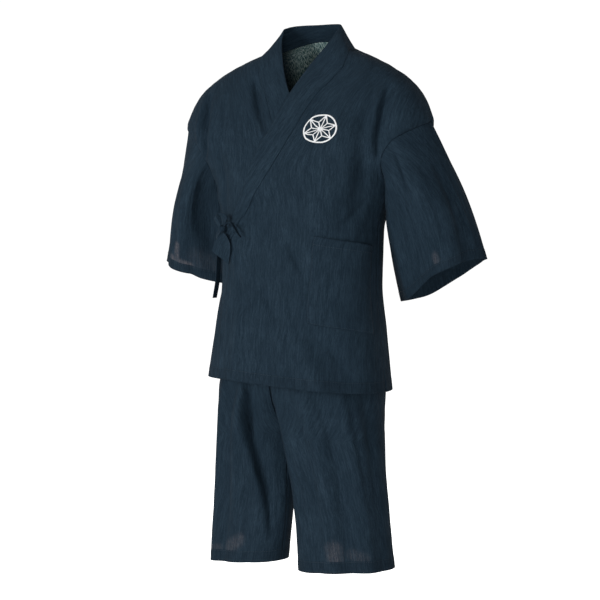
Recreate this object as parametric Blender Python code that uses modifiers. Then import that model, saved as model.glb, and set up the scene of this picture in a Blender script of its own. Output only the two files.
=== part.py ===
"""Jinbei set: a wrapped cotton jacket with wide sleeves, and loose shorts, as worn with no wearer.

Sizes are in millimetres and are scaled to metres in one place. The wearer faces -Y, their left
is +X, and the origin is the middle of the base of the neck, level with the top of the shoulders.
"""
import bpy
import numpy as np

METRE = 0.001
NAME = "jinbei_set"

CLOTH = 1.3
COLLAR_THICKNESS = 2.0
OVER_LIFT = 3.4
SEAM_GAP = 0.3
ARMHOLE_GAP = 1.0
ARMPIT_STEP_OUT = 3.6
ARMHOLE_EDGE_GAP = 0.5
NECK_GAP = 1.5
POCKET_LIFT = 2.9
HEM_FALL_PER_MM = 0.07
HEM_Z = -691
WAIST_Z = -470
HEM_FALL_FROM = -480
HEM_FALL_TO_X = -100
SLIT_TOP_Z = -640
SLIT_HALF_WIDTH = 4
OVER_LIFT_FADES_OVER = (0.72, 0.97)

# The middle of the front and of the back at each height.
MIDDLE = (
    # height, front_y, back_y
    (0, 4, 111),
    (-8, 0, 114),
    (-22, -8, 119),
    (-42, -19, 125),
    (-65, -32, 130),
    (-100, -50, 137),
    (-150, -73, 142),
    (-195, -89, 145),
    (-250, -98, 143),
    (-300, -101, 138),
    (-375, -103, 127),
    (-480, -107, 121),
    (-580, -118, 125),
    (-712, -134, 130),
)

# The outer edge of the front and of the back: shoulder line, armhole seam from -150 to -300 and
# side seam. Roundness is how squarely the panel turns to meet its edge.
FRONT_OUTER = (
    # height, x, y, roundness
    (0, 95, 51, 2.4),
    (-8, 120, 50, 2.4),
    (-22, 156, 48, 2.4),
    (-42, 196, 45, 2.4),
    (-65, 229, 41, 2.4),
    (-100, 261, 37, 2.4),
    (-135, 279, 33, 2.2),
    (-150, 284, 30, 2.0),
    (-158, 276, 6, 1.6),
    (-172, 254, -20, 1.25),
    (-192, 228, -38, 1.05),
    (-218, 210, -40, 1.0),
    (-250, 199, -24, 1.2),
    (-278, 197, 3, 1.7),
    (-300, 196, 24, 2.2),
    (-324, 184, 18, 2.4),
    (-375, 175, 12, 2.4),
    (-480, 174, 8, 2.4),
    (-580, 186, 3, 2.4),
    (-712, 203, -5, 2.4),
)
BACK_OUTER = (
    # height, x, y, roundness
    (0, 95, 51, 2.4),
    (-8, 120, 50, 2.4),
    (-22, 156, 48, 2.4),
    (-42, 196, 45, 2.4),
    (-65, 229, 41, 2.4),
    (-100, 261, 37, 2.4),
    (-135, 279, 33, 2.2),
    (-150, 284, 34, 2.0),
    (-158, 278, 56, 1.6),
    (-172, 260, 80, 1.25),
    (-192, 236, 96, 1.05),
    (-218, 216, 98, 1.0),
    (-250, 202, 80, 1.2),
    (-278, 198, 48, 1.7),
    (-300, 196, 25, 2.2),
    (-324, 184, 18, 2.4),
    (-375, 175, 12, 2.4),
    (-480, 174, 8, 2.4),
    (-580, 186, 3, 2.4),
    (-712, 203, -5, 2.4),
)
SQUARENESS = 2.4
DEPTH_IN_ARC_LENGTH = 0.6
ARC_SAMPLES = 400
NORMAL_STEP = 0.004
SHOULDER_END_Z = -95
ARM_TOP_Z = -150
ARMPIT_Z = -300

# The edge of each front: the collar seam down to the tie, and then the free edge.
OVER_EDGE = (
    # height, x
    (0, 95),
    (-12, 106),
    (-34, 108),
    (-65, 92),
    (-90, 70),
    (-129, 48),
    (-162, 33),
    (-198, 14),
    (-237, -9),
    (-272, -33),
    (-309, -58),
    (-336, -73),
    (-358, -87),
    (-380, -103),
    (-400, -114),
    (-457, -120),
    (-567, -140),
    (-691, -134),
)
UNDER_EDGE = (
    # height, x
    (0, -95),
    (-12, -101),
    (-34, -93),
    (-65, -77),
    (-90, -59),
    (-144, -28),
    (-190, -3),
    (-237, 24),
    (-272, 47),
    (-309, 70),
    (-336, 84),
    (-358, 93),
    (-380, 100),
    (-400, 104),
    (-457, 108),
    (-567, 112),
    (-691, 114),
)

# The free edge of the collar beside each height of its seam, and how much of it lies on the body.
OVER_COLLAR = (
    # seam_height, x, y, height, on_body
    (0, 66, 55, 51, 0),
    (-12, 66, 36, 38, 0),
    (-34, 60, 12, 14, 0),
    (-65, 37, -10, -24, 0.3),
    (-90, 20, -32, -58, 1),
    (-129, 0, -48, -98, 1),
    (-162, -13, -65, -132, 1),
    (-198, -31, -80, -172, 1),
    (-237, -49, -90, -208, 1),
    (-272, -66, -96, -248, 1),
    (-309, -83, -94, -290, 1),
    (-336, -98, -90, -320, 1),
    (-358, -112, -85, -344, 1),
    (-380, -125, -80, -362, 1),
    (-400, -134, -76, -376, 1),
)
UNDER_COLLAR = (
    # seam_height, x, y, height, on_body
    (0, -66, 55, 51, 0),
    (-12, -59, 32, 29, 0),
    (-34, -43, 2, -6, 0),
    (-65, -26, -22, -44, 0.6),
    (-90, -8, -40, -78, 1),
    (-144, 14, -56, -112, 1),
    (-190, 36, -76, -158, 1),
    (-237, 60, -90, -210, 1),
    (-272, 78, -94, -250, 1),
    (-309, 97, -92, -292, 1),
    (-336, 110, -88, -322, 1),
    (-358, 118, -84, -344, 1),
)
COLLAR_TOP = (
    # x_share_of_neck, edge_x, edge_y, edge_height
    (1.0, 66, 55, 51),
    (0.93, 59, 70, 56),
    (0.74, 46, 81, 59),
    (0.42, 25, 87, 60),
    (0.0, 0, 89, 60),
)
NECK_RISE = 26
NECK_RISE_OVER = 60
COLLAR_LAID_FROM = (20, 60)
NECK_GAP_FADES_OVER = (5, 90)
NECK_BACK_ROWS = 14

# Soft folds: a line across the front or back, how wide the fold is and how far it stands out.
# They fade out towards the sides, by share of the arc, and towards the neck, by depth below it.
FOLDS_FADE_AT_ARC = (0.8, 1.0)
FOLDS_FADE_BELOW_NECK = (5, 60)
FRONT_FOLDS = (
    # x0, z0, x1, z1, width, height
    (196, -80, 182, -160, 24, -7),
    (182, -160, 176, -255, 26, -9),
    (218, -105, 222, -150, 30, 4),
    (140, -165, 150, -262, 24, 5),
    (172, -303, 132, -362, 24, -6),
    (-88, -70, -63, -150, 18, -6),
    (-190, -160, -180, -255, 26, -8),
    (-218, -105, -222, -150, 30, 4),
    (-140, -375, -60, -352, 12, 5),
    (-140, -385, -60, -420, 12, 5),
    (-130, -400, -78, -470, 12, 4),
    (20, -384, 65, -475, 16, -5),
    (-26, -500, 10, -560, 16, -5),
    (91, -590, 156, -668, 24, -8),
    (54, -600, 104, -676, 22, 6),
    (-80, -560, -90, -700, 20, 6),
    (-20, -600, -10, -700, 22, -5),
    (20, -600, 30, -700, 20, 5),
)
BACK_FOLDS = (
    # x0, z0, x1, z1, width, height
    (196, -150, 180, -270, 28, -9),
    (-196, -150, -180, -270, 28, -9),
    (222, -115, 224, -160, 30, 4),
    (-222, -115, -224, -160, 30, 4),
    (120, -190, 95, -420, 28, 6),
    (-120, -190, -95, -420, 28, 6),
    (60, -420, 80, -700, 26, 7),
    (-50, -400, -72, -700, 26, 7),
    (5, -330, 0, -700, 24, -7),
    (128, -450, 140, -700, 22, -6),
    (-128, -450, -140, -700, 22, -6),
    (150, -330, 40, -390, 18, 5),
    (-150, -330, -40, -390, 18, 5),
)

# Rows of the jacket's panels: each band of heights and how many steps it has.
SHOULDER_ROWS = 6
SHOULDER_ROWS_TO = -60
ROW_BANDS = ((SHOULDER_ROWS_TO, -150, 4), (-150, -300, 8), (-300, -400, 4), (-400, HEM_Z, 9))
FRONT_COLUMNS = 14
UNDER_COLUMNS = 11
BACK_COLUMNS = 22
COLLAR_COLUMNS = 3
UNDER_SINK = 4
UNDER_SINK_OVER = 50

# The sleeve half way down and at the cuff, round from the top through the front.
SLEEVE_MIDDLE = (
    # x, y, height
    (338, 64, -286),
    (322, 10, -292),
    (276, -26, -318),
    (212, 2, -362),
    (180, 66, -402),
    (202, 114, -376),
    (262, 132, -330),
    (318, 112, -298),
)
SLEEVE_CUFF = (
    # x, y, height
    (384, 92, -431),
    (352, 42, -437),
    (294, 26, -466),
    (234, 48, -511),
    (194, 90, -523),
    (238, 116, -511),
    (300, 136, -476),
    (356, 122, -440),
)

# The same rings of the wearer's right sleeve, as if it were on the left: its cuff is more level.
RIGHT_SLEEVE_MIDDLE = (
    # x, y, height
    (328, 64, -290),
    (311, 12, -298),
    (272, -26, -324),
    (212, 2, -366),
    (180, 66, -404),
    (202, 114, -378),
    (256, 132, -334),
    (308, 112, -302),
)
RIGHT_SLEEVE_CUFF = (
    # x, y, height
    (382, 92, -446),
    (352, 42, -453),
    (294, 26, -474),
    (234, 48, -500),
    (194, 90, -511),
    (238, 116, -505),
    (300, 136, -480),
    (356, 122, -453),
)
SLEEVE_COLUMNS = 32
SLEEVE_ROWS = 9

# Round the sleeve a turn of 0 is its top and 0.5 the armpit; its folds grow from the armhole down.
ARMPIT_TURN = 0.5
ARMPIT_STEP_OVER = (0.26, 0.46)
SLEEVE_FOLDS_GROW_OVER = (0.05, 0.5)
SLEEVE_FOLDS_AT_TOP = 0.55
TURNS_WITHOUT_FOLDS = 0.06
SLEEVE_FOLDS = (
    # turn_at_top, turn_at_cuff, width, height
    (0.08, 0.10, 0.035, 5),
    (0.20, 0.17, 0.04, -6),
    (0.30, 0.27, 0.035, 6),
    (0.42, 0.38, 0.03, -4),
    (0.62, 0.64, 0.04, -6),
    (0.76, 0.74, 0.04, 6),
    (0.88, 0.87, 0.04, -5),
)

POCKET_TOP_Z = -384
POCKET_BOTTOM_Z = -560
POCKET_COLUMNS = (8, 13)
POCKET_FALL = 19
POCKET_ROWS = 6

# The left leg of the shorts, down from the waist. The right leg mirrors it.
LEG = (
    # height, middle_x, half_width, front_y, back_y, turn_degrees
    (-470, 0, 148, -88, 96, 0),
    (-520, 4, 156, -92, 111, 0),
    (-580, 16, 153, -96, 116.4, 0),
    (-640, 38, 135, -96, 111, 0),
    (-700, 66, 118, -94, 96, 0),
    (-750, 86, 99, -90, 82, 2),
    (-790, 93, 94, -85, 72, 5),
    (-850, 98, 94, -81, 62, 9),
    (-950, 105, 98, -77, 52, 14),
    (-1080, 116, 99, -73, 48, 18),
)
LEG_SQUARENESS = 2.15
LEG_HEM_Z = -1080
LEG_HEM_TILT_FROM_Z = -700
# How far each leg's hem rises where x is 0, and for each millimetre of x.
LEFT_HEM_TILT = (-4, 0.05)
RIGHT_HEM_TILT = (15, 0.097)
RISE_TURNS_Z = -600
RISE_END_Z = -690
LEG_ROW_BANDS = ((WAIST_Z, -700, 5), (-700, -790, 4), (-790, -1080, 7))
LEG_COLUMNS = 12
LEG_FOLDS_FADE_INSIDE = 0.18
LEG_FOLDS_FADE_OUTSIDE = 0.15
SHARE_TO_FOLD_WIDTH = 100
FRONT_LEG_FOLDS = (
    # share0, z0, share1, z1, width, height
    (-0.05, -700, -0.10, -940, 14, 6),
    (0.30, -560, 0.22, -1080, 20, -6),
    (0.55, -600, 0.60, -1080, 20, 6),
    (-0.45, -760, -0.50, -1080, 16, -5),
    (0.85, -640, 0.82, -1080, 18, -4),
)
BACK_LEG_FOLDS = (
    # share0, z0, share1, z1, width, height
    (0.10, -640, 0.05, -1080, 22, 7),
    (0.52, -600, 0.56, -1080, 20, -6),
    (-0.48, -740, -0.42, -1080, 18, -6),
    (0.85, -700, 0.80, -1080, 18, 5),
)

WAISTBAND_HEIGHT = 32
WAISTBAND_COLUMNS = 48
WAISTBAND_THICKNESS = 2.4
WAISTBAND_GAP = 0.8

# The tie at the wearer's right: flat strips, each given by points along its middle, the way its
# width runs there, and the width.
TIE_THICKNESS = 1.4
TIE_END = (
    # x, y, height, across_x, across_y, across_height, width
    (-130.8, -96.7, -380.8, 0.85, -0.38, -0.36, 11),
    (-134.5, -96.5, -392, 0.87, -0.12, -0.42, 24),
    (-142, -99, -410, 0.85, 0.18, -0.46, 42),
    (-150, -102, -430, 0.82, 0.28, -0.50, 48),
)
TIE_TAIL = (
    # x, y, height, across_x, across_y, across_height, width
    (-140.8, -93.3, -373.9, 0.50, -0.37, -0.78, 8),
    (-157.0, -78, -388, 0.50, -0.37, -0.78, 13),
    (-168, -58, -412, 0.38, -0.56, -0.67, 15),
    (-179, -34, -440, -0.10, -0.98, -0.15, 15),
    (-184, -28, -480, -0.10, -0.99, 0.00, 15),
    (-189, -25, -514, -0.10, -0.99, 0.00, 14),
)
TIE_LOOP = (
    # x, y, height, across_x, across_y, across_height, width
    (-136.8, -96.3, -363.4, 0.76, 0.40, 0.51, 11),
    (-139.5, -98.0, -355.5, 0.76, 0.40, 0.51, 16),
    (-146.5, -95.0, -349.5, 0.76, 0.40, 0.51, 17),
    (-148.0, -88.5, -351.5, 0.76, 0.40, 0.51, 17),
    (-143.5, -86.0, -358.5, 0.76, 0.40, 0.51, 14),
    (-139.2, -88.5, -364.2, 0.76, 0.40, 0.51, 10),
)
TIE_ARC = (
    # x, y, height, across_x, across_y, across_height, width
    (-128.2, -97.6, -365.3, -0.40, -0.91, 0.0, 10),
    (-118.5, -103.4, -361, -0.40, -0.91, 0.0, 15),
    (-106, -108.8, -364, -0.40, -0.91, 0.0, 18),
    (-93, -111.2, -378, -0.40, -0.91, 0.0, 17),
    (-83, -112.4, -396, -0.40, -0.91, 0.0, 12),
)
TIE_ROWS_PER_SPAN = 3
KNOT_AT = (-133.0, -95.2, -371)
KNOT_SIZE = (8, 6, 8)
KNOT_TURN_DEGREES = 28
KNOT_RINGS = 12
KNOT_POINTS = 16

NAVY = (0.012, 0.017, 0.032)


def through(table, column, at):
    """Smooth curve through one column of a table, with no overshoot, read along its first."""
    rows = np.array(table, float)
    rows = rows[np.argsort(rows[:, 0])]
    knots, values = rows[:, 0], rows[:, column]
    rises = np.diff(values) / np.diff(knots)
    before, after = rises[:-1], rises[1:]
    turning = before * after <= 0
    inner = np.where(turning, 0, 2 * before * after / np.where(turning, 1, before + after))
    slopes = np.concatenate([rises[:1], inner, rises[-1:]])
    low = np.clip(np.searchsorted(knots, at) - 1, 0, len(knots) - 2)
    span = knots[low + 1] - knots[low]
    part = np.clip((at - knots[low]) / span, 0, 1)
    return (
        (1 + 2 * part) * (1 - part) ** 2 * values[low]
        + part * (1 - part) ** 2 * span * slopes[low]
        + part**2 * (3 - 2 * part) * values[low + 1]
        + part**2 * (part - 1) * span * slopes[low + 1]
    )


def smooth_step(low, high, value):
    """0 below low, 1 above high, and a smooth rise between them."""
    part = np.clip((value - low) / (high - low), 0, 1)
    return part * part * (3 - 2 * part)


def banded(bands):
    """All the heights of a list of bands, from the top down."""
    pieces = [np.linspace(top, bottom, steps, endpoint=False) for top, bottom, steps in bands]
    return np.append(np.concatenate(pieces), bands[-1][1])


def superellipse(arc, power):
    """Width and depth shares at a share of the arc from the middle, 0, to the side, 1."""
    angle = np.linspace(0, np.pi / 2, ARC_SAMPLES)
    wide = np.sin(angle) ** (2 / power)
    deep = np.cos(angle) ** (2 / power)
    length = np.append(0, np.cumsum(np.hypot(np.diff(wide), DEPTH_IN_ARC_LENGTH * np.diff(deep))))
    length /= length[-1]
    size = np.abs(arc)
    return np.sign(arc) * np.interp(size, length, wide), np.interp(size, length, deep)


def arc_of_share(share, power):
    """The arc that gives a share of the half width."""
    arc = np.linspace(0, 1, ARC_SAMPLES)
    wide = superellipse(arc, power)[0]
    return np.sign(share) * np.interp(np.abs(share), wide, arc)


def fold_height(folds, across, height):
    """Sum of the soft folds, each one a rounded ridge or trough along its line."""
    total = np.zeros(np.broadcast(across, height).shape)
    for x0, z0, x1, z1, width, rise in folds:
        along_x, along_z = x1 - x0, z1 - z0
        length = along_x**2 + along_z**2
        part = np.clip(((across - x0) * along_x + (height - z0) * along_z) / length, 0, 1)
        near = (across - x0 - part * along_x) ** 2 + (height - z0 - part * along_z) ** 2
        total = total + rise * np.exp(-near / width**2)
    return total


def body_ring(arc, height, back):
    """A point of the plain body: at each height, a curve from the middle out to the edge."""
    wide, deep = superellipse(arc, SQUARENESS)
    table = BACK_OUTER if back else FRONT_OUTER
    edge_x, edge_y, roundness = (through(table, column, height) for column in (1, 2, 3))
    middle = through(MIDDLE, 2 if back else 1, height)
    y = edge_y + (middle - edge_y) * deep ** (SQUARENESS / roundness)
    return np.stack([edge_x * wide, y, height + 0 * wide], -1)


def unit(vectors):
    """The same directions with a length of 1."""
    return vectors / np.linalg.norm(vectors, axis=-1, keepdims=True)


def body(arc, height, back=False, out=0.0):
    """A point of the draped body: the plain ring, its folds, moved out along the normal."""
    arc, height, out = np.broadcast_arrays(arc, height, out)
    inner = np.clip(arc, -1 + NORMAL_STEP, 1 - NORMAL_STEP)
    ahead, behind = inner + NORMAL_STEP, inner - NORMAL_STEP
    across = body_ring(ahead, height, back) - body_ring(behind, height, back)
    along = body_ring(inner, height - 1, back) - body_ring(inner, height + 1, back)
    normal = unit(np.cross(along, across))
    if back:
        normal = -normal
    point = body_ring(arc, height, back)
    folds = BACK_FOLDS if back else FRONT_FOLDS
    lift = fold_height(folds, point[..., 0], height)
    lift = lift * (1 - smooth_step(*FOLDS_FADE_AT_ARC, np.abs(arc)))
    lift = lift * smooth_step(*FOLDS_FADE_BELOW_NECK, -height)
    point = point + normal * (lift + out)[..., None]
    fall = smooth_step(-HEM_FALL_FROM, -HEM_Z, -height) * HEM_FALL_PER_MM
    point[..., 2] -= fall * np.maximum(point[..., 0], HEM_FALL_TO_X)
    return point


def arc_at_x(x, height):
    """The arc of the front at a given x."""
    share = np.clip(x / through(FRONT_OUTER, 1, height), -1, 1)
    return arc_of_share(share, SQUARENESS)


def over_lift(arc):
    """How far the left front stands off the body: nothing at its side seam."""
    return OVER_LIFT * (1 - smooth_step(*OVER_LIFT_FADES_OVER, arc))


def under_lift(arc, height):
    """How far the right front moves in where the left front covers it."""
    x = through(FRONT_OUTER, 1, height) * superellipse(arc, SQUARENESS)[0]
    return -UNDER_SINK * smooth_step(0, UNDER_SINK_OVER, x - through(OVER_EDGE, 1, height))


def panel_heights():
    """The rows of the jacket, closer together where the shoulders are nearly level."""
    part = np.arange(SHOULDER_ROWS) / SHOULDER_ROWS
    return np.append(SHOULDER_ROWS_TO * part**2, banded(ROW_BANDS))


def pull_in(grid, amounts, edge):
    """Move one edge of a grid back along its rows, to leave room for a seam."""
    line, beside = (grid[:, -1], grid[:, -2]) if edge == "last" else (grid[:, 0], grid[:, 1])
    line += unit(beside - line) * np.asarray(amounts)[..., None]


def side_gap(height):
    """How far a panel stops short of its outer edge: more at the armhole and in the hem slit."""
    slit_part = smooth_step(-SLIT_TOP_Z, -HEM_Z, -height)
    arm_part = (height < SHOULDER_END_Z) & (height > ARMPIT_Z)
    return SEAM_GAP / 2 + slit_part * SLIT_HALF_WIDTH + arm_part * ARMHOLE_EDGE_GAP


def front_panel(left):
    """Rows down from the shoulder, columns from the front edge to the outer edge."""
    height = panel_heights()[1:]
    columns = FRONT_COLUMNS if left else UNDER_COLUMNS
    side = 1 if left else -1
    edge = arc_at_x(through(OVER_EDGE if left else UNDER_EDGE, 1, height), height)
    part = np.linspace(0, 1, columns + 1)
    arc = edge[:, None] + (side - edge)[:, None] * part
    rows = height[:, None] + 0 * part
    grid = body(arc, rows, False, over_lift(arc) if left else under_lift(arc, rows))
    pull_in(grid, side_gap(height), "last")
    pull_in(grid, np.full(len(height), SEAM_GAP / 2), "first")
    return grid


def back_panel():
    """Rows down from the neck, columns from the wearer's right to the left."""
    height = panel_heights()
    part = np.linspace(-1, 1, BACK_COLUMNS + 1)
    rows = height[:, None] + 0 * part
    grid = body(part, rows, True)
    share = superellipse(part, SQUARENESS)[0]
    rise = NECK_RISE * (1 - share**2) * (1 - smooth_step(0, NECK_RISE_OVER, -rows))
    grid[..., 2] += rise
    pull_in(grid, side_gap(height), "last")
    pull_in(grid, side_gap(height), "first")
    grid[0, :, 1:] += unit(grid[1, :, 1:] - grid[0, :, 1:]) * SEAM_GAP / 2
    return grid


def collar_side(left):
    """One front half of the collar: its seam and its free edge at each height."""
    table = OVER_COLLAR if left else UNDER_COLLAR
    seam_table = OVER_EDGE if left else UNDER_EDGE
    height = panel_heights()
    height = height[height >= table[-1][0] - 1]
    seam_arc = arc_at_x(through(seam_table, 1, height), height)
    lift = over_lift(seam_arc) if left else under_lift(seam_arc, height)
    seam = body(seam_arc, height, False, lift)
    free = np.stack([through(table, column, height) for column in (1, 2, 3)], -1)
    part = np.linspace(0, 1, COLLAR_COLUMNS + 1)
    grid = seam[:, None] + (free - seam)[:, None] * part[:, None]
    on_body = through(table, 4, height)[:, None] * np.ones(len(part))
    at_seam = (1 - part) ** 2 * smooth_step(*COLLAR_LAID_FROM, -height)[:, None]
    on_body = np.maximum(on_body, at_seam)
    arc = arc_at_x(grid[..., 0], grid[..., 2])
    lift = over_lift(arc) if left else under_lift(arc, grid[..., 2])
    laid = body(arc, grid[..., 2], False, lift)
    grid = grid + (laid - grid) * on_body[..., None]
    grid[:, 0] = seam
    near_neck = 1 - smooth_step(*NECK_GAP_FADES_OVER, -height)
    pull_in(grid, SEAM_GAP / 2 + near_neck * NECK_GAP, "first")
    return grid


def collar():
    """The whole band: from the tie up the left front, round the neck and down the right front."""
    left, right = collar_side(True), collar_side(False)
    arc = np.linspace(1, -1, NECK_BACK_ROWS + 1)[1:-1]
    seam = body_ring(arc, np.zeros(len(arc)), True)
    share = superellipse(arc, SQUARENESS)[0]
    seam[:, 2] += NECK_RISE * (1 - share**2)
    free = np.stack([through(COLLAR_TOP, column, np.abs(share)) for column in (1, 2, 3)], -1)
    free[:, 0] *= np.sign(share)
    part = np.linspace(0, 1, COLLAR_COLUMNS + 1)
    neck = seam[:, None] + (free - seam)[:, None] * part[:, None]
    pull_in(neck, np.full(len(arc), SEAM_GAP / 2 + NECK_GAP), "first")
    return np.concatenate([left[::-1], neck, right])


def closed_through(points, turns):
    """A smooth closed curve through evenly spaced points, read at shares of a turn."""
    points = np.array(points, float)
    count = len(points)
    place = turns * count
    low = np.floor(place).astype(int)
    part = (place - low)[:, None]
    before, start, end, after = (points[(low + shift) % count] for shift in (-1, 0, 1, 2))
    return start + 0.5 * part * (
        end - before
        + part * (2 * before - 5 * start + 4 * end - after + part * (3 * (start - end) + after - before))
    )


def armhole_loop(turns):
    """The left armhole from the shoulder down the front to the armpit and up the back.

    The points lie on straight lines between the ends of the panels' rows.
    """
    height = panel_heights()
    height = height[(height <= ARM_TOP_Z) & (height >= ARMPIT_Z)]
    spans = len(height) - 1
    front = body(1.0, height, False)
    back = body(1.0, height, True)[::-1]
    loop = np.concatenate([front[:-1], (front[-1:] + back[:1]) / 2, back[1:]])
    loop[0] = loop[-1] = (front[0] + back[-1]) / 2
    place = turns * 2 * spans
    return np.stack([np.interp(place, np.arange(2 * spans + 1), loop[:, i]) for i in range(3)], -1)


def sleeve(middle_ring, cuff_ring):
    """The left sleeve: rings from the armhole to the cuff, bent through the middle ring."""
    turns = np.linspace(0, 1, SLEEVE_COLUMNS, endpoint=False)
    top = armhole_loop(turns)
    cuff = closed_through(cuff_ring, turns)
    middle = closed_through(middle_ring, turns)
    part = np.linspace(0, 1, SLEEVE_ROWS + 1)[:, None, None]
    bend = 2 * middle - (top + cuff) / 2
    grid = (1 - part) ** 2 * top + 2 * part * (1 - part) * bend + part**2 * cuff
    axis = unit(cuff.mean(0) - top.mean(0))
    grid[0] += axis * ARMHOLE_GAP
    from_armpit = np.abs(turns - ARMPIT_TURN)
    at_armpit = smooth_step(*ARMPIT_STEP_OVER, ARMPIT_TURN - from_armpit)
    grid[:2, :, 0] += ARMPIT_STEP_OUT * at_armpit
    spin = np.roll(grid, -1, 1) - np.roll(grid, 1, 1)
    along = np.gradient(grid, axis=0)
    normal = unit(np.cross(spin, along))
    share = part[..., 0]
    lift = np.zeros(grid.shape[:2])
    for turn_top, turn_cuff, width, rise in SLEEVE_FOLDS:
        centre = turn_top + (turn_cuff - turn_top) * share
        lift += rise * np.exp(-((turns - centre) ** 2) / width**2)
    lift *= smooth_step(*SLEEVE_FOLDS_GROW_OVER, share)
    lift *= SLEEVE_FOLDS_AT_TOP + (1 - SLEEVE_FOLDS_AT_TOP) * share
    lift *= smooth_step(0, TURNS_WITHOUT_FOLDS, np.minimum(turns, 1 - turns))
    lift *= smooth_step(0, TURNS_WITHOUT_FOLDS, from_armpit)
    return grid - normal * lift[..., None]


def pocket():
    """The patch on the left front, on some of that panel's columns and moved out."""
    height = np.linspace(POCKET_TOP_Z, POCKET_BOTTOM_Z, POCKET_ROWS + 1)
    first, last = POCKET_COLUMNS
    part = np.arange(first, last + 1) / FRONT_COLUMNS
    edge = arc_at_x(through(OVER_EDGE, 1, height), height)[:, None]
    arc = edge + (1 - edge) * part
    fall = POCKET_FALL * (part - part[0]) / (part[-1] - part[0])
    return body(arc, height[:, None] - fall, False, over_lift(arc) + POCKET_LIFT)


def leg_panel(back):
    """Half of the left leg: rows down from the waist, columns from the inside to the side."""
    height = banded(LEG_ROW_BANDS)[:, None]
    middle_x = through(LEG, 1, height)
    half_width = through(LEG, 2, height)
    front_y, back_y = through(LEG, 3, height), through(LEG, 4, height)
    turn = np.radians(through(LEG, 5, height))
    inner_share = np.clip(-(middle_x - SEAM_GAP) / half_width, -1, 1)
    inner = arc_of_share(inner_share, LEG_SQUARENESS)
    part = np.linspace(0, 1, LEG_COLUMNS + 1)
    arc = inner + (1 - inner) * part
    wide, deep = superellipse(arc, LEG_SQUARENESS)
    middle_y = (front_y + back_y) / 2
    depth = (back_y - front_y) / 2 * (1 if back else -1)
    folds = BACK_LEG_FOLDS if back else FRONT_LEG_FOLDS
    scale = SHARE_TO_FOLD_WIDTH
    scaled = [(x0 * scale, z0, x1 * scale, z1, *rest) for x0, z0, x1, z1, *rest in folds]
    fade = smooth_step(0, LEG_FOLDS_FADE_INSIDE, part)
    fade = fade * smooth_step(0, LEG_FOLDS_FADE_OUTSIDE, 1 - part)
    lift = fold_height(scaled, wide * scale, height) * fade
    across = wide * (half_width + lift)
    over = deep * (depth + lift * (1 if back else -1))
    x = middle_x + across * np.cos(turn) - over * np.sin(turn)
    y = middle_y + across * np.sin(turn) + over * np.cos(turn)
    turned_in = smooth_step(-RISE_TURNS_Z, -RISE_END_Z, -height)
    x = np.maximum(x, SEAM_GAP / 2 + CLOTH * turned_in)
    grid = np.stack([x, y, height + 0 * x], -1)
    pull_in(grid, np.full(len(grid), SEAM_GAP / 2), "last")
    pull_in(grid, np.full(len(grid), SEAM_GAP / 2), "first")
    return grid


def waistband():
    """The plain band on top of the legs, a little more than its seam's gap above them."""
    turn = np.arange(WAISTBAND_COLUMNS) / WAISTBAND_COLUMNS * 4
    quarter = np.floor(turn).astype(int)
    part = turn - quarter
    arc = np.where(quarter % 2 == 0, part, 1 - part)
    wide, deep = superellipse(arc, LEG_SQUARENESS)
    half_width, front_y, back_y = LEG[0][2:5]
    in_front = (quarter == 0) | (quarter == 3)
    x = half_width * wide * np.where(quarter < 2, 1, -1)
    middle_y = (front_y + back_y) / 2
    y = middle_y + np.where(in_front, front_y - middle_y, back_y - middle_y) * deep
    rise = WAISTBAND_HEIGHT * np.array([1, 0.5, 0])
    height = (WAIST_Z + WAISTBAND_GAP + rise)[:, None]
    return np.stack([x + 0 * height, y + 0 * height, height + 0 * x], -1)


def strip(table):
    """A flat strip with a smooth middle line and two edges."""
    rows = np.array(table, float)
    steps = np.arange(len(rows), dtype=float)
    at = np.linspace(0, len(rows) - 1, (len(rows) - 1) * TIE_ROWS_PER_SPAN + 1)
    keyed = np.column_stack([steps, rows])
    middle = np.stack([through(keyed, column, at) for column in (1, 2, 3)], -1)
    across = unit(np.stack([through(keyed, column, at) for column in (4, 5, 6)], -1))
    width = through(keyed, 7, at)[:, None]
    return np.stack([middle - across * width / 2, middle, middle + across * width / 2], 1)


def cloth_material(name):
    """Plain matt navy."""
    material = bpy.data.materials.new(name)
    material.use_nodes = True
    shader = material.node_tree.nodes["Principled BSDF"]
    shader.inputs["Base Color"].default_value = (*NAVY, 1)
    shader.inputs["Roughness"].default_value = 0.85
    return material


def add_mesh(name, points, faces, collection):
    """One named object from points in millimetres."""
    mesh = bpy.data.meshes.new(name)
    mesh.from_pydata((points * METRE).tolist(), [], faces)
    mesh.update()
    mesh.shade_smooth()
    thing = bpy.data.objects.new(name, mesh)
    collection.objects.link(thing)
    mesh.materials.append(cloth_material(name + "_cloth"))
    return thing


def add_shell(name, grid, thickness, collection, flip=False, closed=False, side=1):
    """A grid of points as a sheet of cloth, thickened outwards for side 1, inwards for -1."""
    rows, columns = grid.shape[:2]
    spans = columns if closed else columns - 1
    row, column = np.meshgrid(np.arange(rows - 1), np.arange(spans), indexing="ij")
    here = (row * columns + column).ravel()
    beside = (row * columns + (column + 1) % columns).ravel()
    faces = np.stack([here, beside, beside + columns, here + columns], 1)
    if flip:
        faces = faces[:, ::-1]
    thing = add_mesh(name, grid.reshape(-1, 3), faces.tolist(), collection)
    solid = thing.modifiers.new("thickness", "SOLIDIFY")
    solid.thickness = thickness * METRE
    solid.offset = side
    solid.use_even_offset = False
    return thing


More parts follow.
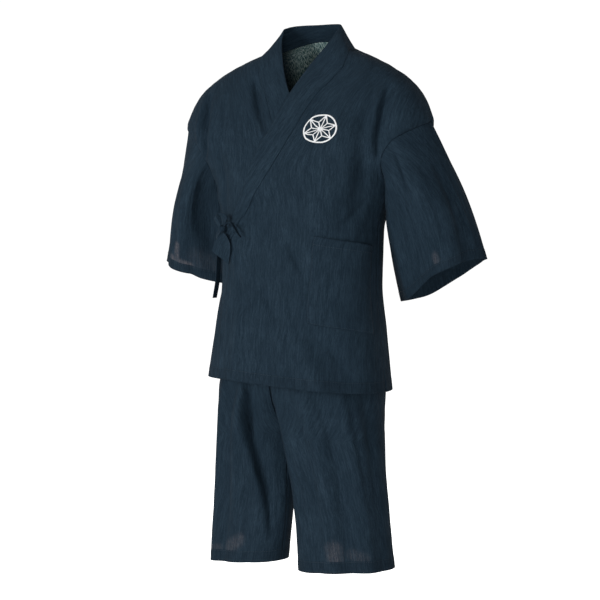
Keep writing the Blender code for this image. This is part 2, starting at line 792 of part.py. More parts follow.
def add_knot(name, collection):
    """A rounded knot: rings of a flattened ball between two poles."""
    turn = np.arange(KNOT_POINTS) * 2 * np.pi / KNOT_POINTS
    tilt = np.arange(1, KNOT_RINGS) * np.pi / KNOT_RINGS
    ring = np.sin(tilt)[:, None]
    x = ring * np.cos(turn) * KNOT_SIZE[0]
    y = ring * np.sin(turn) * KNOT_SIZE[1]
    z = np.cos(tilt)[:, None] * KNOT_SIZE[2] + 0 * turn
    points = np.stack([x, y, z], -1).reshape(-1, 3)
    points = np.concatenate([points, [[0, 0, KNOT_SIZE[2]], [0, 0, -KNOT_SIZE[2]]]])
    spin = np.radians(KNOT_TURN_DEGREES)
    points[:, :2] = points[:, :2] @ np.array(
        [[np.cos(spin), np.sin(spin)], [-np.sin(spin), np.cos(spin)]]
    )
    points = points + np.array(KNOT_AT)
    faces = []
    for level in range(KNOT_RINGS - 2):
        for step in range(KNOT_POINTS):
            after = (step + 1) % KNOT_POINTS
            low = level * KNOT_POINTS
            faces.append([low + step, low + KNOT_POINTS + step, low + KNOT_POINTS + after, low + after])
    top, bottom = len(points) - 2, len(points) - 1
    last = (KNOT_RINGS - 2) * KNOT_POINTS
    for step in range(KNOT_POINTS):
        after = (step + 1) % KNOT_POINTS
        faces.append([top, step, after])
        faces.append([bottom, last + after, last + step])
    return add_mesh(name, points, faces, collection)


def mirrored(grid):
    """The same piece on the wearer's other side."""
    return grid * np.array([-1, 1, 1])


def tilted(grid, hem_tilt):
    """A leg with its lower part raised by hem_tilt's two amounts, more towards its hem."""
    at_middle, per_mm = hem_tilt
    low = smooth_step(-LEG_HEM_TILT_FROM_Z, -LEG_HEM_Z, -grid[..., 2])
    grid = grid.copy()
    grid[..., 2] += low * (at_middle + per_mm * grid[..., 0])
    return grid


def build():
    """Clear the start-up objects and make every piece, in one collection."""
    for thing in list(bpy.data.objects):
        bpy.data.objects.remove(thing)
    collection = bpy.data.collections.new(NAME)
    bpy.context.scene.collection.children.link(collection)

    add_shell("jacket_back", back_panel(), CLOTH, collection)
    add_shell("jacket_front_left", front_panel(True), CLOTH, collection, flip=True)
    add_shell("jacket_front_right", front_panel(False), CLOTH, collection)
    add_shell("collar", collar(), COLLAR_THICKNESS, collection, flip=True)
    left_arm = sleeve(SLEEVE_MIDDLE, SLEEVE_CUFF)
    right_arm = mirrored(sleeve(RIGHT_SLEEVE_MIDDLE, RIGHT_SLEEVE_CUFF))
    add_shell("sleeve_left", left_arm, CLOTH, collection, closed=True, side=-1)
    add_shell("sleeve_right", right_arm, CLOTH, collection, True, True, -1)
    add_shell("pocket", pocket(), CLOTH, collection, flip=True)
    front, back = leg_panel(False), leg_panel(True)
    for name, half, flip in (("trouser_front", front, True), ("trouser_back", back, False)):
        left, right = tilted(half, LEFT_HEM_TILT), tilted(mirrored(half), RIGHT_HEM_TILT)
        add_shell(name + "_left", left, CLOTH, collection, flip=flip)
        add_shell(name + "_right", right, CLOTH, collection, flip=not flip)
    add_shell("waistband", waistband(), WAISTBAND_THICKNESS, collection, closed=True, flip=True)
    add_shell("tie_loop", strip(TIE_LOOP), TIE_THICKNESS, collection)
    add_shell("tie_arc", strip(TIE_ARC), TIE_THICKNESS, collection)
    add_shell("tie_end", strip(TIE_END), TIE_THICKNESS, collection)
    add_shell("tie_tail", strip(TIE_TAIL), TIE_THICKNESS, collection)
    add_knot("tie_knot", collection)


build()
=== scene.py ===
"""Jinbei set: the crinkled cotton, its creases, hems, stitching and ties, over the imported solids.

Sizes are in millimetres and become metres where a mesh is made. The wearer faces -Y and their
left is +X. Every panel follows its solid's surface on a finer grid, with finer creases. The fronts
of the legs, the wearer's right sleeve and the tie's flap and tail lie a little differently here.
"""

import bpy
import numpy as np
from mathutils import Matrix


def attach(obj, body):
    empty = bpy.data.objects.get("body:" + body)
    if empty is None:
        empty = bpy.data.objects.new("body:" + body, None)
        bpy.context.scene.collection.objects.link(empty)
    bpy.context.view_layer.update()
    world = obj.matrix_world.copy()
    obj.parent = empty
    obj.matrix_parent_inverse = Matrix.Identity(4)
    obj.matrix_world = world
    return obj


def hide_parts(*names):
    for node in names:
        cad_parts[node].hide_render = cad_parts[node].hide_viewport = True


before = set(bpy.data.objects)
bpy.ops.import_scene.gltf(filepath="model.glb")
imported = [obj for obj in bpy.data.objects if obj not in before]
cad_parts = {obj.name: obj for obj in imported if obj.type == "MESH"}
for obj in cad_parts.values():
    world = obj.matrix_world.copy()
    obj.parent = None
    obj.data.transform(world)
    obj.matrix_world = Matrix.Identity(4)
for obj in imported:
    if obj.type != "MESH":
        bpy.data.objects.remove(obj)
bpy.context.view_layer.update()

METRE = 0.001

CLOTH = 1.2
COLLAR_THICKNESS = 2.0
OVER_LIFT = 3.4
SEAM_GAP = 0.12
ARMHOLE_GAP = 0.15
ARMPIT_STEP_OUT = 3.6
POCKET_LIFT = 2.9
HEM_FALL_PER_MM = 0.07
HEM_Z = -691
WAIST_Z = -470
HEM_FALL_FROM = -480
HEM_FALL_TO_X = -100
SLIT_TOP_Z = -640
SLIT_HALF_WIDTH = 1.2
FIRST_ROW_Z = -1.7

# The middle of the front and of the back at each height.
MIDDLE = (
    # height, front_y, back_y
    (0, 4, 111),
    (-8, 0, 114),
    (-22, -8, 119),
    (-42, -19, 125),
    (-65, -32, 130),
    (-100, -50, 137),
    (-150, -73, 142),
    (-195, -89, 145),
    (-250, -98, 143),
    (-300, -101, 138),
    (-375, -103, 127),
    (-480, -107, 121),
    (-580, -118, 125),
    (-712, -134, 130),
)

# The outer edge of the front and of the back: shoulder line, armhole seam from -150 to -300 and
# side seam. Roundness is how squarely the panel turns to meet its edge.
SHOULDER_EDGE = (
    # height, x, y, roundness
    (0, 95, 51, 2.4),
    (-8, 120, 50, 2.4),
    (-22, 156, 48, 2.4),
    (-42, 196, 45, 2.4),
    (-65, 229, 41, 2.4),
    (-100, 261, 37, 2.4),
    (-135, 279, 33, 2.2),
)
SIDE_EDGE = (
    # height, x, y, roundness
    (-324, 184, 18, 2.4),
    (-375, 175, 12, 2.4),
    (-480, 174, 8, 2.4),
    (-580, 186, 3, 2.4),
    (-712, 203, -5, 2.4),
)
FRONT_ARMHOLE = (
    # height, x, y, roundness
    (-150, 284, 30, 2.0),
    (-158, 276, 6, 1.6),
    (-172, 254, -20, 1.25),
    (-192, 228, -38, 1.05),
    (-218, 210, -40, 1.0),
    (-250, 199, -24, 1.2),
    (-278, 197, 3, 1.7),
    (-300, 196, 24, 2.2),
)
BACK_ARMHOLE = (
    # height, x, y, roundness
    (-150, 284, 34, 2.0),
    (-158, 278, 56, 1.6),
    (-172, 260, 80, 1.25),
    (-192, 236, 96, 1.05),
    (-218, 216, 98, 1.0),
    (-250, 202, 80, 1.2),
    (-278, 198, 48, 1.7),
    (-300, 196, 25, 2.2),
)
FRONT_OUTER = SHOULDER_EDGE + FRONT_ARMHOLE + SIDE_EDGE
BACK_OUTER = SHOULDER_EDGE + BACK_ARMHOLE + SIDE_EDGE
SQUARENESS = 2.4
ARM_TOP_Z = -150
ARMPIT_Z = -300

# The edge of each front: the collar seam down to the tie, and then the free edge.
OVER_EDGE = (
    # height, x
    (0, 95),
    (-12, 106),
    (-34, 108),
    (-65, 92),
    (-90, 70),
    (-129, 48),
    (-162, 33),
    (-198, 14),
    (-237, -9),
    (-272, -33),
    (-309, -58),
    (-336, -73),
    (-358, -87),
    (-380, -103),
    (-400, -114),
    (-457, -120),
    (-567, -140),
    (-691, -134),
)
UNDER_EDGE = (
    # height, x
    (0, -95),
    (-12, -101),
    (-34, -93),
    (-65, -77),
    (-90, -59),
    (-144, -28),
    (-190, -3),
    (-237, 24),
    (-272, 47),
    (-309, 70),
    (-336, 84),
    (-358, 93),
    (-380, 100),
    (-400, 104),
    (-457, 108),
    (-567, 112),
    (-691, 114),
)

# The free edge of the collar beside each height of its seam, and how much of it lies on the body.
OVER_COLLAR = (
    # seam_height, x, y, height, on_body
    (0, 66, 55, 51, 0),
    (-12, 66, 36, 38, 0),
    (-34, 60, 12, 14, 0),
    (-65, 37, -10, -24, 0.3),
    (-90, 20, -32, -58, 1),
    (-129, 0, -48, -98, 1),
    (-162, -13, -65, -132, 1),
    (-198, -31, -80, -172, 1),
    (-237, -49, -90, -208, 1),
    (-272, -66, -96, -248, 1),
    (-309, -83, -94, -290, 1),
    (-336, -98, -90, -320, 1),
    (-358, -112, -85, -344, 1),
    (-380, -125, -80, -362, 1),
    (-400, -134, -76, -376, 1),
)
UNDER_COLLAR = (
    # seam_height, x, y, height, on_body
    (0, -66, 55, 51, 0),
    (-12, -59, 32, 29, 0),
    (-34, -43, 2, -6, 0),
    (-65, -26, -22, -44, 0.6),
    (-90, -8, -40, -78, 1),
    (-144, 14, -56, -112, 1),
    (-190, 36, -76, -158, 1),
    (-237, 60, -90, -210, 1),
    (-272, 78, -94, -250, 1),
    (-309, 97, -92, -292, 1),
    (-336, 110, -88, -322, 1),
    (-358, 118, -84, -344, 1),
)
COLLAR_TOP = (
    # x_share_of_neck, edge_x, edge_y, edge_height
    (1.0, 66, 55, 51),
    (0.93, 59, 70, 56),
    (0.74, 46, 81, 59),
    (0.42, 25, 87, 60),
    (0.0, 0, 89, 60),
)
NECK_RISE = 26
UNDER_SINK = 4
UNDER_SINK_OVER = 50


def both_sides(rows):
    """Rows of a fold or crease table and their mirror images, with x and any bow of other sign."""
    turned = [(-x0, z0, -x1, z1, *(-bow for bow in rest[:-2]), *rest[-2:])
              for x0, z0, x1, z1, *rest in rows]
    return tuple(rows) + tuple(turned)


# The large folds of the solids: a line across the front or back, its width and how far it stands.
FRONT_FOLDS = (
    # x0, z0, x1, z1, width, height
    (196, -80, 182, -160, 24, -7),
    (182, -160, 176, -255, 26, -9),
    (218, -105, 222, -150, 30, 4),
    (140, -165, 150, -262, 24, 5),
    (172, -303, 132, -362, 24, -6),
    (-88, -70, -63, -150, 18, -6),
    (-190, -110, -184, -255, 16, 4),
    (-218, -105, -222, -150, 30, 4),
    (-140, -375, -60, -352, 12, 5),
    (-140, -385, -60, -420, 12, 5),
    (-130, -400, -78, -470, 12, 4),
    (20, -384, 65, -475, 16, -5),
    (-26, -500, 10, -560, 16, -5),
    (91, -590, 156, -668, 24, -8),
    (54, -600, 104, -676, 22, 6),
    (-80, -560, -90, -700, 20, 6),
    (-20, -600, -10, -700, 22, -5),
    (20, -600, 30, -700, 20, 5),
)
BACK_FOLDS = both_sides((
    # x0, z0, x1, z1, width, height
    (196, -150, 180, -270, 28, -9),
    (222, -115, 224, -160, 30, 4),
    (120, -190, 95, -420, 28, 6),
    (128, -450, 140, -700, 22, -6),
    (150, -330, 40, -390, 18, 5),
)) + (
    (60, -420, 80, -700, 26, 7),
    (-50, -400, -72, -700, 26, 7),
    (5, -330, 0, -700, 24, -7),
)

# Finer creases: a bowed line that fades at its ends, with a soft ridge beside the trough.
FRONT_CREASES = (
    # x0, z0, x1, z1, bow, width, height
    (-47, -300, -79, -351, 3, 5, -3.6),
    (-112, -82, -104, -180, 6, 5, -1.6),
    (-52, -110, -22, -168, 4, 4, -1.6),
    (-150, -70, -140, -190, 8, 7, -2.0),
    (180, -70, 178, -150, -6, 7, -1.8),
    (150, -120, 146, -250, 8, 9, -1.6),
    (208, -120, 190, -176, 4, 5, -1.6),
    (74, -44, 30, -150, 6, 6, -1.3),
    (96, -66, 52, -176, 6, 6, -1.2),
    (58, -182, 6, -300, 6, 6, -1.4),
    (80, -196, 28, -316, 8, 7, -1.2),
    (36, -252, -30, -352, 6, 5, -1.4),
    (-32, -300, -84, -372, 4, 4, -1.8),
    (-10, -320, -96, -388, 4, 4, -1.6),
    (26, -340, -88, -398, -6, 5, -1.2),
    (-70, -380, -20, -470, 8, 6, -1.8),
    (-100, -400, -70, -520, 6, 5, -1.5),
    (20, -384, 66, -470, 4, 5, -2.2),
    (-26, -498, 8, -560, 3, 5, -2.4),
    (40, -480, 60, -600, 6, 8, -1.4),
    (96, -586, 160, -664, -6, 7, -2.6),
    (-60, -540, -66, -690, 4, 7, -1.6),
    (0, -580, 6, -690, 4, 6, -1.3),
    (130, -570, 150, -690, 4, 7, -1.4),
    (178, -302, 128, -366, -6, 6, -2.6),
    (184, -340, 130, -420, -6, 7, -1.4),
    (-176, -300, -128, -370, 6, 6, -2.2),
    (-170, -420, -150, -560, 6, 7, -1.4),
)

# Deep folds with one steep side. Widths are those of the low and the high side, across.
FRONT_PLEATS = (
    # x0, z0, x1, z1, bow, width_low, width_high, height
    (210, -76, 200, -232, 0, 6, 18, -18),
    (-99, -52, -30, -180, 9, 4, 11, -9),
    (178, -190, 158, -360, 4, 12, 16, -5),
    (-203, -86, -206, -222, 0, 5, 14, -17),
    (-160, -185, -134, -352, 0, 6, 14, -6),
)
BACK_CREASES = both_sides((
    # x0, z0, x1, z1, bow, width, height
    (188, -70, 184, -140, -6, 7, -2.8),
    (184, -130, 172, -270, -8, 8, -3.2),
    (176, -302, 110, -372, -6, 6, -2.4),
)) + (
    (150, -120, 130, -300, 10, 9, -1.8),
    (-146, -120, -130, -300, -10, 9, -1.8),
    (90, -90, 60, -300, 8, 9, -1.3),
    (-84, -100, -66, -310, -8, 9, -1.3),
    (20, -60, 10, -260, 6, 9, -1.0),
    (40, -380, 52, -690, 6, 8, -1.7),
    (-30, -400, -40, -690, -6, 8, -1.7),
    (104, -430, 118, -690, 6, 7, -1.5),
    (-100, -430, -112, -690, -6, 7, -1.5),
    (154, -470, 166, -690, 4, 7, -1.3),
    (-152, -470, -168, -690, -4, 7, -1.3),
)

# The sleeve half way down and at the cuff, round from the top through the front.
SLEEVE_MIDDLE = (
    # x, y, height
    (338, 64, -286),
    (322, 10, -292),
    (276, -26, -318),
    (212, 2, -362),
    (180, 66, -402),
    (202, 114, -376),
    (262, 132, -330),
    (318, 112, -298),
)
SLEEVE_CUFF = (
    # x, y, height
    (384, 92, -431),
    (352, 42, -437),
    (294, 26, -466),
    (234, 48, -511),
    (194, 90, -523),
    (238, 116, -511),
    (300, 136, -476),
    (356, 122, -440),
)

# The same rings of the wearer's right sleeve, as if it were on the left: its cuff is more level.
RIGHT_SLEEVE_MIDDLE = (
    # x, y, height
    (328, 64, -290),
    (311, 12, -298),
    (258, -28, -327),
    (226, 32, -360),
    (184, 74, -398),
    (202, 114, -376),
    (256, 132, -334),
    (308, 112, -302),
)
RIGHT_SLEEVE_CUFF = (
    # x, y, height
    (382, 92, -446),
    (352, 42, -453),
    (294, 26, -474),
    (234, 48, -490),
    (194, 90, -500),
    (238, 116, -496),
    (300, 136, -480),
    (356, 122, -453),
)
SLEEVE_FOLDS = (
    # turn_at_top, turn_at_cuff, width, height
    (0.08, 0.10, 0.035, 5),
    (0.20, 0.17, 0.04, -6),
    (0.30, 0.27, 0.035, 6),
    (0.42, 0.38, 0.03, -4),
    (0.62, 0.64, 0.04, -6),
    (0.76, 0.74, 0.04, 6),
    (0.88, 0.87, 0.04, -5),
)
SLEEVE_CREASES = (
    # turn0, down0, turn1, down1, bow, width, height
    (0.04, 0.30, 0.03, 0.98, 0.01, 0.010, -1.5),
    (0.39, 0.20, 0.40, 0.90, 0.01, 0.012, -1.8),
    (0.45, 0.02, 0.40, 0.40, 0.01, 0.012, -2.2),
    (0.60, 0.05, 0.62, 0.70, 0.01, 0.012, -2.4),
    (0.70, 0.15, 0.69, 0.95, 0.01, 0.012, -2.0),
    (0.80, 0.10, 0.82, 0.85, 0.01, 0.012, -2.2),
    (0.91, 0.20, 0.92, 0.95, 0.01, 0.012, -1.8),
)

# The creases of each sleeve's front.
LEFT_SLEEVE_CREASES = (
    # turn0, down0, turn1, down1, bow, width, height
    (0.17, 0.04, 0.30, 0.68, 0.022, 0.011, -5.0),
    (0.22, 0.12, 0.35, 0.80, 0.020, 0.011, -3.2),
    (0.085, 0.28, 0.115, 0.97, 0.015, 0.016, -4.6),
    (0.19, 0.40, 0.21, 0.92, -0.010, 0.010, -1.6),
)
RIGHT_SLEEVE_CREASES = (
    # turn0, down0, turn1, down1, bow, width, height
    (0.30, 0.02, 0.35, 0.80, -0.010, 0.045, -9.0),
    (0.24, 0.10, 0.25, 0.85, 0.010, 0.012, -2.4),
    (0.10, 0.15, 0.12, 0.90, 0.010, 0.012, -2.0),
    (0.17, 0.30, 0.19, 0.95, 0.010, 0.012, -1.8),
)

POCKET_TOP_Z = -384
POCKET_BOTTOM_Z = -560
POCKET_FROM, POCKET_TO = 8 / 14, 13 / 14
POCKET_FALL = 19
POCKET_SEWN_GAP = 0.15
POCKET_GAPE = 3.6
POCKET_HEM_STEP = 0.4

# The left leg of the shorts, down from the waist. The right leg mirrors it.
LEG = (
    # height, middle_x, half_width, front_y, back_y, turn_degrees
    (-470, 0, 148, -88, 96, 0),
    (-520, 4, 156, -92, 111, 0),
    (-580, 16, 153, -96, 116.4, 0),
    (-640, 38, 135, -96, 111, 0),
    (-700, 66, 118, -94, 96, 0),
    (-750, 86, 99, -90, 82, 2),
    (-790, 93, 94, -85, 72, 5),
    (-850, 98, 94, -81, 62, 9),
    (-950, 105, 98, -77, 52, 14),
    (-1080, 116, 99, -73, 48, 18),
)
LEG_SQUARENESS = 2.15
# The half width that a leg's table of folds counts its shares and widths on.
LEG_SPAN = 100
LEG_HEM_Z = -1080
LEG_HEM_TILT_FROM_Z = -700
# How far each leg's hem rises where x is 0, and for each millimetre of x.
LEFT_HEM_TILT = (-4, 0.05)
RIGHT_HEM_TILT = (15, 0.097)
RISE_TURNS_Z = -600
RISE_END_Z = -690
FRONT_LEG_FOLDS = (
    # share0, z0, share1, z1, width, height
    (-0.05, -700, -0.10, -940, 14, 6),
    (0.30, -560, 0.22, -1080, 20, -6),
    (0.55, -600, 0.60, -1080, 20, 6),
    (-0.45, -760, -0.50, -1080, 16, -5),
    (0.85, -640, 0.82, -1080, 18, -4),
)
BACK_LEG_FOLDS = (
    # share0, z0, share1, z1, width, height
    (0.10, -640, 0.05, -1080, 22, 7),
    (0.52, -600, 0.56, -1080, 20, -6),
    (-0.48, -740, -0.42, -1080, 18, -6),
    (0.85, -700, 0.80, -1080, 18, 5),
)
LEG_CREASES = (
    # share0, z0, share1, z1, bow, width, height
    (0.24, -640, 0.16, -1050, 4, 7, -2.2),
    (-0.66, -740, -0.70, -1060, 3, 5, -1.8),
    (0.44, -660, 0.42, -900, 3, 6, -1.5),
    (0.70, -650, 0.72, -1060, 3, 6, -1.8),
    (0.60, -880, 0.56, -1060, 2, 5, -1.2),
    (-0.12, -860, -0.16, -1060, 2, 5, -1.2),
)

# The creases of each leg's front.
LEFT_LEG_CREASES = (
    # share0, z0, share1, z1, bow, width, height
    (0.05, -690, -0.02, -930, 3, 6, -2.4),
    (-0.30, -720, -0.36, -1000, 3, 7, -2.6),
    (0.93, -690, 0.90, -880, 0, 6, -5.0),
)
RIGHT_LEG_PLEATS = (
    # share0, z0, share1, z1, bow, width_low, width_high, height
    (0.25, -640, -0.93, -1040, 28, 24, 8, -21),
)
RIGHT_LEG_CREASES = (
    # share0, z0, share1, z1, bow, width, height
    (0.30, -690, 0.22, -960, 3, 6, -1.8),
    (-0.80, -820, -0.84, -1010, 0, 8, -4.0),
    (0.40, -840, 0.38, -880, 1, 4, -1.6),
)

# The patches where the cloth is single and lets light through, painted as a lighter colour, on a
# grid's share across and the height above its hem.
RIGHT_SLEEVE_SHEER = (
    # across0, up0, across1, up1, half_across, half_up, amount
    (0.208, 62, 0.200, 24, 0.013, 10, 0.9),
    (0.180, 26, 0.275, 20, 0.013, 10, 1.0),
    (0.30, 40, 0.40, 30, 0.05, 30, 0.18),
)
LEFT_SLEEVE_SHEER = (
    # across0, up0, across1, up1, half_across, half_up, amount
    (0.234, 38, 0.228, 26, 0.014, 12, 0.55),
    (0.70, 40, 0.74, 30, 0.03, 14, 0.4),
)
LEFT_LEG_SHEER = (
    # across0, up0, across1, up1, half_across, half_up, amount
    (0.455, 52, 0.455, 30, 0.075, 18, 0.62),
    (0.61, 38, 0.67, 32, 0.07, 14, 0.34),
)
RIGHT_LEG_SHEER = (
    # across0, up0, across1, up1, half_across, half_up, amount
    (0.66, 30, 0.72, 28, 0.06, 9, 0.4),
    (0.40, 48, 0.52, 32, 0.06, 18, 0.5),
)
BACK_LEG_SHEER = (
    # across0, up0, across1, up1, half_across, half_up, amount
    (0.45, 46, 0.52, 40, 0.08, 14, 0.5),
)

# How far the front of both legs leans to the wearer's right beside the middle.
RISE_LEAN = (
    # height, lean
    (-1080, 0),
    (-1000, 0),
    (-930, 5),
    (-861, 23),
    (-777, 36),
    (-718, 29),
    (-640, 24),
    (-500, 0),
)
RISE_LEAN_WIDTH = 95
RISE_LEAN_FROM_Y, RISE_LEAN_TO_Y = 10, -70

WAISTBAND_HEIGHT = 32
WAISTBAND_THICKNESS = 2.2
WAISTBAND_GAP = 0.8
WAISTBAND_GATHERS = 64

# The tie at the wearer's right, as flat strips along their middles.
TIE_THICKNESS = 1.3
TIE_END = (
    # x, y, height, across_x, across_y, across_height, width
    (-126.1, -99.2, -380.7, 0.85, -0.38, -0.36, 11),
    (-125, -100, -391, 0.86, -0.24, -0.44, 31),
    (-130, -98.5, -407, 0.85, -0.12, -0.48, 45),
    (-139, -95, -431, 0.83, -0.06, -0.54, 50),
)
TIE_TAIL = (
    # x, y, height, across_x, across_y, across_height, width
    (-140.8, -93.3, -373.9, 0.50, -0.37, -0.78, 8),
    (-157.0, -78, -388, 0.50, -0.37, -0.78, 13),
    (-168, -58, -412, 0.38, -0.56, -0.67, 15),
    (-179, -34, -440, -0.10, -0.98, -0.15, 15),
    (-185, -28, -482, -0.10, -0.99, 0.00, 15),
    (-193, -27, -520, -0.10, -0.99, 0.00, 14),
)
TIE_LOOP = (
    # x, y, height, across_x, across_y, across_height, width
    (-136, -101, -366, -0.76, 0.446, -0.46, 9),
    (-142.5, -99, -357, -0.76, 0.446, -0.46, 12),
    (-149.2, -97, -347.8, -0.76, 0.446, -0.46, 13),
    (-143, -96, -339.4, -0.76, 0.446, -0.46, 13),
    (-128.5, -99, -342.5, -0.76, 0.446, -0.46, 12),
    (-119, -103, -351, -0.76, 0.446, -0.46, 11),
    (-121.5, -104, -361, -0.76, 0.446, -0.46, 8),
)
TIE_ARC = (
    # x, y, height, across_x, across_y, across_height, width
    (-124.5, -101.5, -367.5, 0.05, -1.0, 0.0, 8),
    (-113, -108, -359, 0.15, -0.98, 0.0, 12),
    (-104, -111, -358, 0.15, -0.98, 0.0, 13),
    (-94, -114, -367, 0.15, -0.98, 0.0, 14),
    (-86, -116, -378, 0.15, -0.98, 0.0, 12),
    (-78, -116, -388, 0.15, -0.98, 0.0, 8),
)
KNOT_AT = (-133.0, -95.2, -371)
KNOT_SIZE = (8, 6, 8)
KNOT_TURN_DEGREES = 28

# How far the crinkle of a piece is moved across, so that it differs from its neighbour's.
POCKET_SHIFT = 200
BACK_LEG_SHIFT = 400

# The back's inside below the neck, where light shining through the cloth is painted as a lighter
# colour: distances down and to the side, where it fades.
INSIDE_FADES_DOWN = (110, 210)
INSIDE_FADES_ASIDE = (50, 110)

# Hems and stitching.
JACKET_HEM = 24
CUFF_HEM = 22
LEG_HEM = 25
POCKET_HEM = 20
NO_HEM = -100
HEM_STEP = 0.5
STITCH_FROM_FOLD = 2
STITCH_PITCH = 3.4
STITCH_LENGTH = 2.3
STITCH_WIDTH = 0.45
STITCH_OUT = 0.05
# The relief beside seams and hems: heights, and how wide each is.
PUCKER_HEIGHT, PUCKER_REACH = 0.55, 12
SEAM_DIP, SEAM_DIP_WIDTH = -0.25, 2.2
SEAM_RIDGE, SEAM_RIDGE_AT, SEAM_RIDGE_WIDTH = 0.16, 5, 3
STITCH_DIP, STITCH_DIP_WIDTH = -0.35, 1.2
HEM_WAVE = 0.5
COLLAR_EDGE_DIP, COLLAR_EDGE_WIDTH = 0.5, 2.0
# Where the free edge of a front begins, under the tie, and where its stitches stop above the hem's.
FREE_EDGE_FROM_Z = -404
ROWS_UNDER_STITCH = 7

# The ring with a hemp leaf star on the chest: its middle, size and slant.
MARK_X, MARK_Z = 88, -168
MARK_RADIUS = 38
MARK_LINE = 2.5
MARK_SLANT_DEGREES = -14

# Rows and columns of the panels' grids.
LEFT_FRONT_COLUMNS, RIGHT_FRONT_COLUMNS = 116, 92
BACK_COLUMNS = 175
COLLAR_COLUMNS, COLLAR_NECK_ROWS = 22, 72
SLEEVE_ROWS, SLEEVE_COLUMNS = 112, 192
POCKET_ROWS, POCKET_COLUMNS = 64, 46
LEG_ROWS, LEG_COLUMNS = 190, 89
WAISTBAND_ROWS, WAISTBAND_POINTS = 15, 384


def through(table, column, at):
    """Smooth curve through one column of a table, with no overshoot, read along its first.

    Cubic pieces between the rows, whose slopes are the harmonic mean of the rises beside them.
    """
    rows = np.array(table, float)
    rows = rows[np.argsort(rows[:, 0])]
    knots, values = rows[:, 0], rows[:, column]
    rises = np.diff(values) / np.diff(knots)
    before, after = rises[:-1], rises[1:]
    turning = before * after <= 0
    inner = np.where(turning, 0, 2 * before * after / np.where(turning, 1, before + after))
    slopes = np.concatenate([rises[:1], inner, rises[-1:]])
    low = np.clip(np.searchsorted(knots, at) - 1, 0, len(knots) - 2)
    span = knots[low + 1] - knots[low]
    part = np.clip((at - knots[low]) / span, 0, 1)
    return (
        (1 + 2 * part) * (1 - part) ** 2 * values[low]
        + part * (1 - part) ** 2 * span * slopes[low]
        + part**2 * (3 - 2 * part) * values[low + 1]
        + part**2 * (part - 1) * span * slopes[low + 1]
    )


def smooth_step(low, high, value):
    part = np.clip((value - low) / (high - low), 0, 1)
    return part * part * (3 - 2 * part)


def unit(vectors):
    return vectors / np.maximum(np.linalg.norm(vectors, axis=-1, keepdims=True), 1e-9)


def superellipse(arc, power):
    """Width and depth shares at a share of the arc from the middle, 0, to the side, 1.

    The curve is wide^power + depth^power = 1, read by its length.
    """
    angle = np.linspace(0, np.pi / 2, 1200)
    wide = np.sin(angle) ** (2 / power)
    deep = np.cos(angle) ** (2 / power)
    length = np.append(0, np.cumsum(np.hypot(np.diff(wide), 0.6 * np.diff(deep))))
    length /= length[-1]
    size = np.abs(arc)
    return np.sign(arc) * np.interp(size, length, wide), np.interp(size, length, deep)


def arc_of_share(share, power):
    """The arc that gives a share of the half width."""
    arc = np.linspace(0, 1, 1200)
    wide = superellipse(arc, power)[0]
    return np.sign(share) * np.interp(np.abs(share), wide, arc)


def fold_height(folds, across, height):
    """Sum of large folds: each is height * exp(-(distance from its line / width)^2)."""
    total = np.zeros(np.broadcast(across, height).shape)
    for x0, z0, x1, z1, width, rise in folds:
        along_x, along_z = x1 - x0, z1 - z0
        length = along_x**2 + along_z**2
        part = np.clip(((across - x0) * along_x + (height - z0) * along_z) / length, 0, 1)
        near = (across - x0 - part * along_x) ** 2 + (height - z0 - part * along_z) ** 2
        total = total + rise * np.exp(-near / width**2)
    return total


def beside_line(x0, z0, x1, z1, bow, across, height):
    """Share along a line, from 0 to 1, and distance from it once it is bowed by bow in its middle."""
    along_x, along_z = x1 - x0, z1 - z0
    length = np.hypot(along_x, along_z)
    part = ((across - x0) * along_x + (height - z0) * along_z) / length**2
    aside = ((across - x0) * along_z - (height - z0) * along_x) / length
    inside = np.clip(part, 0, 1)
    return inside, aside - bow * 4 * inside * (1 - inside)


def crease_shape(aside, width):
    """A trough of height 1 and half a ridge beside it."""
    ridge = np.exp(-(((aside - 2 * width) / (1.3 * width)) ** 2))
    return np.exp(-((aside / width) ** 2)) - 0.5 * ridge


def crease_height(creases, across, height):
    """Sum of fine creases: each swells and fades along its line as the sine of half a turn."""
    total = np.zeros(np.broadcast(across, height).shape)
    for *line, width, rise in creases:
        inside, aside = beside_line(*line, across, height)
        total = total + rise * np.sin(np.pi * inside) ** 0.8 * crease_shape(aside, width)
    return total


def pleat_height(pleats, across, height):
    """Sum of pleats: a trough with a width for each side, and a low ridge past its steep side."""
    total = np.zeros(np.broadcast(across, height).shape)
    for *line, width_low, width_high, rise in pleats:
        inside, aside = beside_line(*line, across, height)
        trough = np.exp(-((aside / np.where(aside > 0, width_low, width_high)) ** 2))
        side = -1 if width_high < width_low else 1
        steep = min(width_low, width_high)
        ridge = np.exp(-(((aside - side * 2.6 * steep) / (1.6 * steep)) ** 2))
        total = total + rise * np.sin(np.pi * inside) ** 0.7 * (trough - 0.25 * ridge)
    return total


def soft_noise(across, down, cell_across, cell_down, seed):
    """Smooth noise from -1 to 1: fixed random values on a lattice, blended with cubic steps."""
    size = 256
    values = np.random.default_rng(seed).uniform(-1, 1, (size, size))
    across, down = np.broadcast_arrays(across / cell_across, down / cell_down)
    column, row = np.floor(across).astype(int), np.floor(down).astype(int)
    a, b = across - column, down - row
    a, b = a * a * (3 - 2 * a), b * b * (3 - 2 * b)
    column, row = column % size, row % size
    right, below = (column + 1) % size, (row + 1) % size
    top = values[row, column] * (1 - a) + values[row, right] * a
    bottom = values[below, column] * (1 - a) + values[below, right] * a
    return top * (1 - b) + bottom * b


def crinkle(across, down, seed):
    """The crepe's relief: narrow ribs of 7 and 13 mm, several times as long as they are wide."""
    sway = 3 * soft_noise(across, down, 60, 90, seed + 3)
    return (
        0.30 * soft_noise(across + sway, down, 7, 34, seed)
        + 0.34 * soft_noise(across + sway, down, 13, 70, seed + 1)
        + 0.60 * soft_noise(across, down, 36, 130, seed + 2)
    )


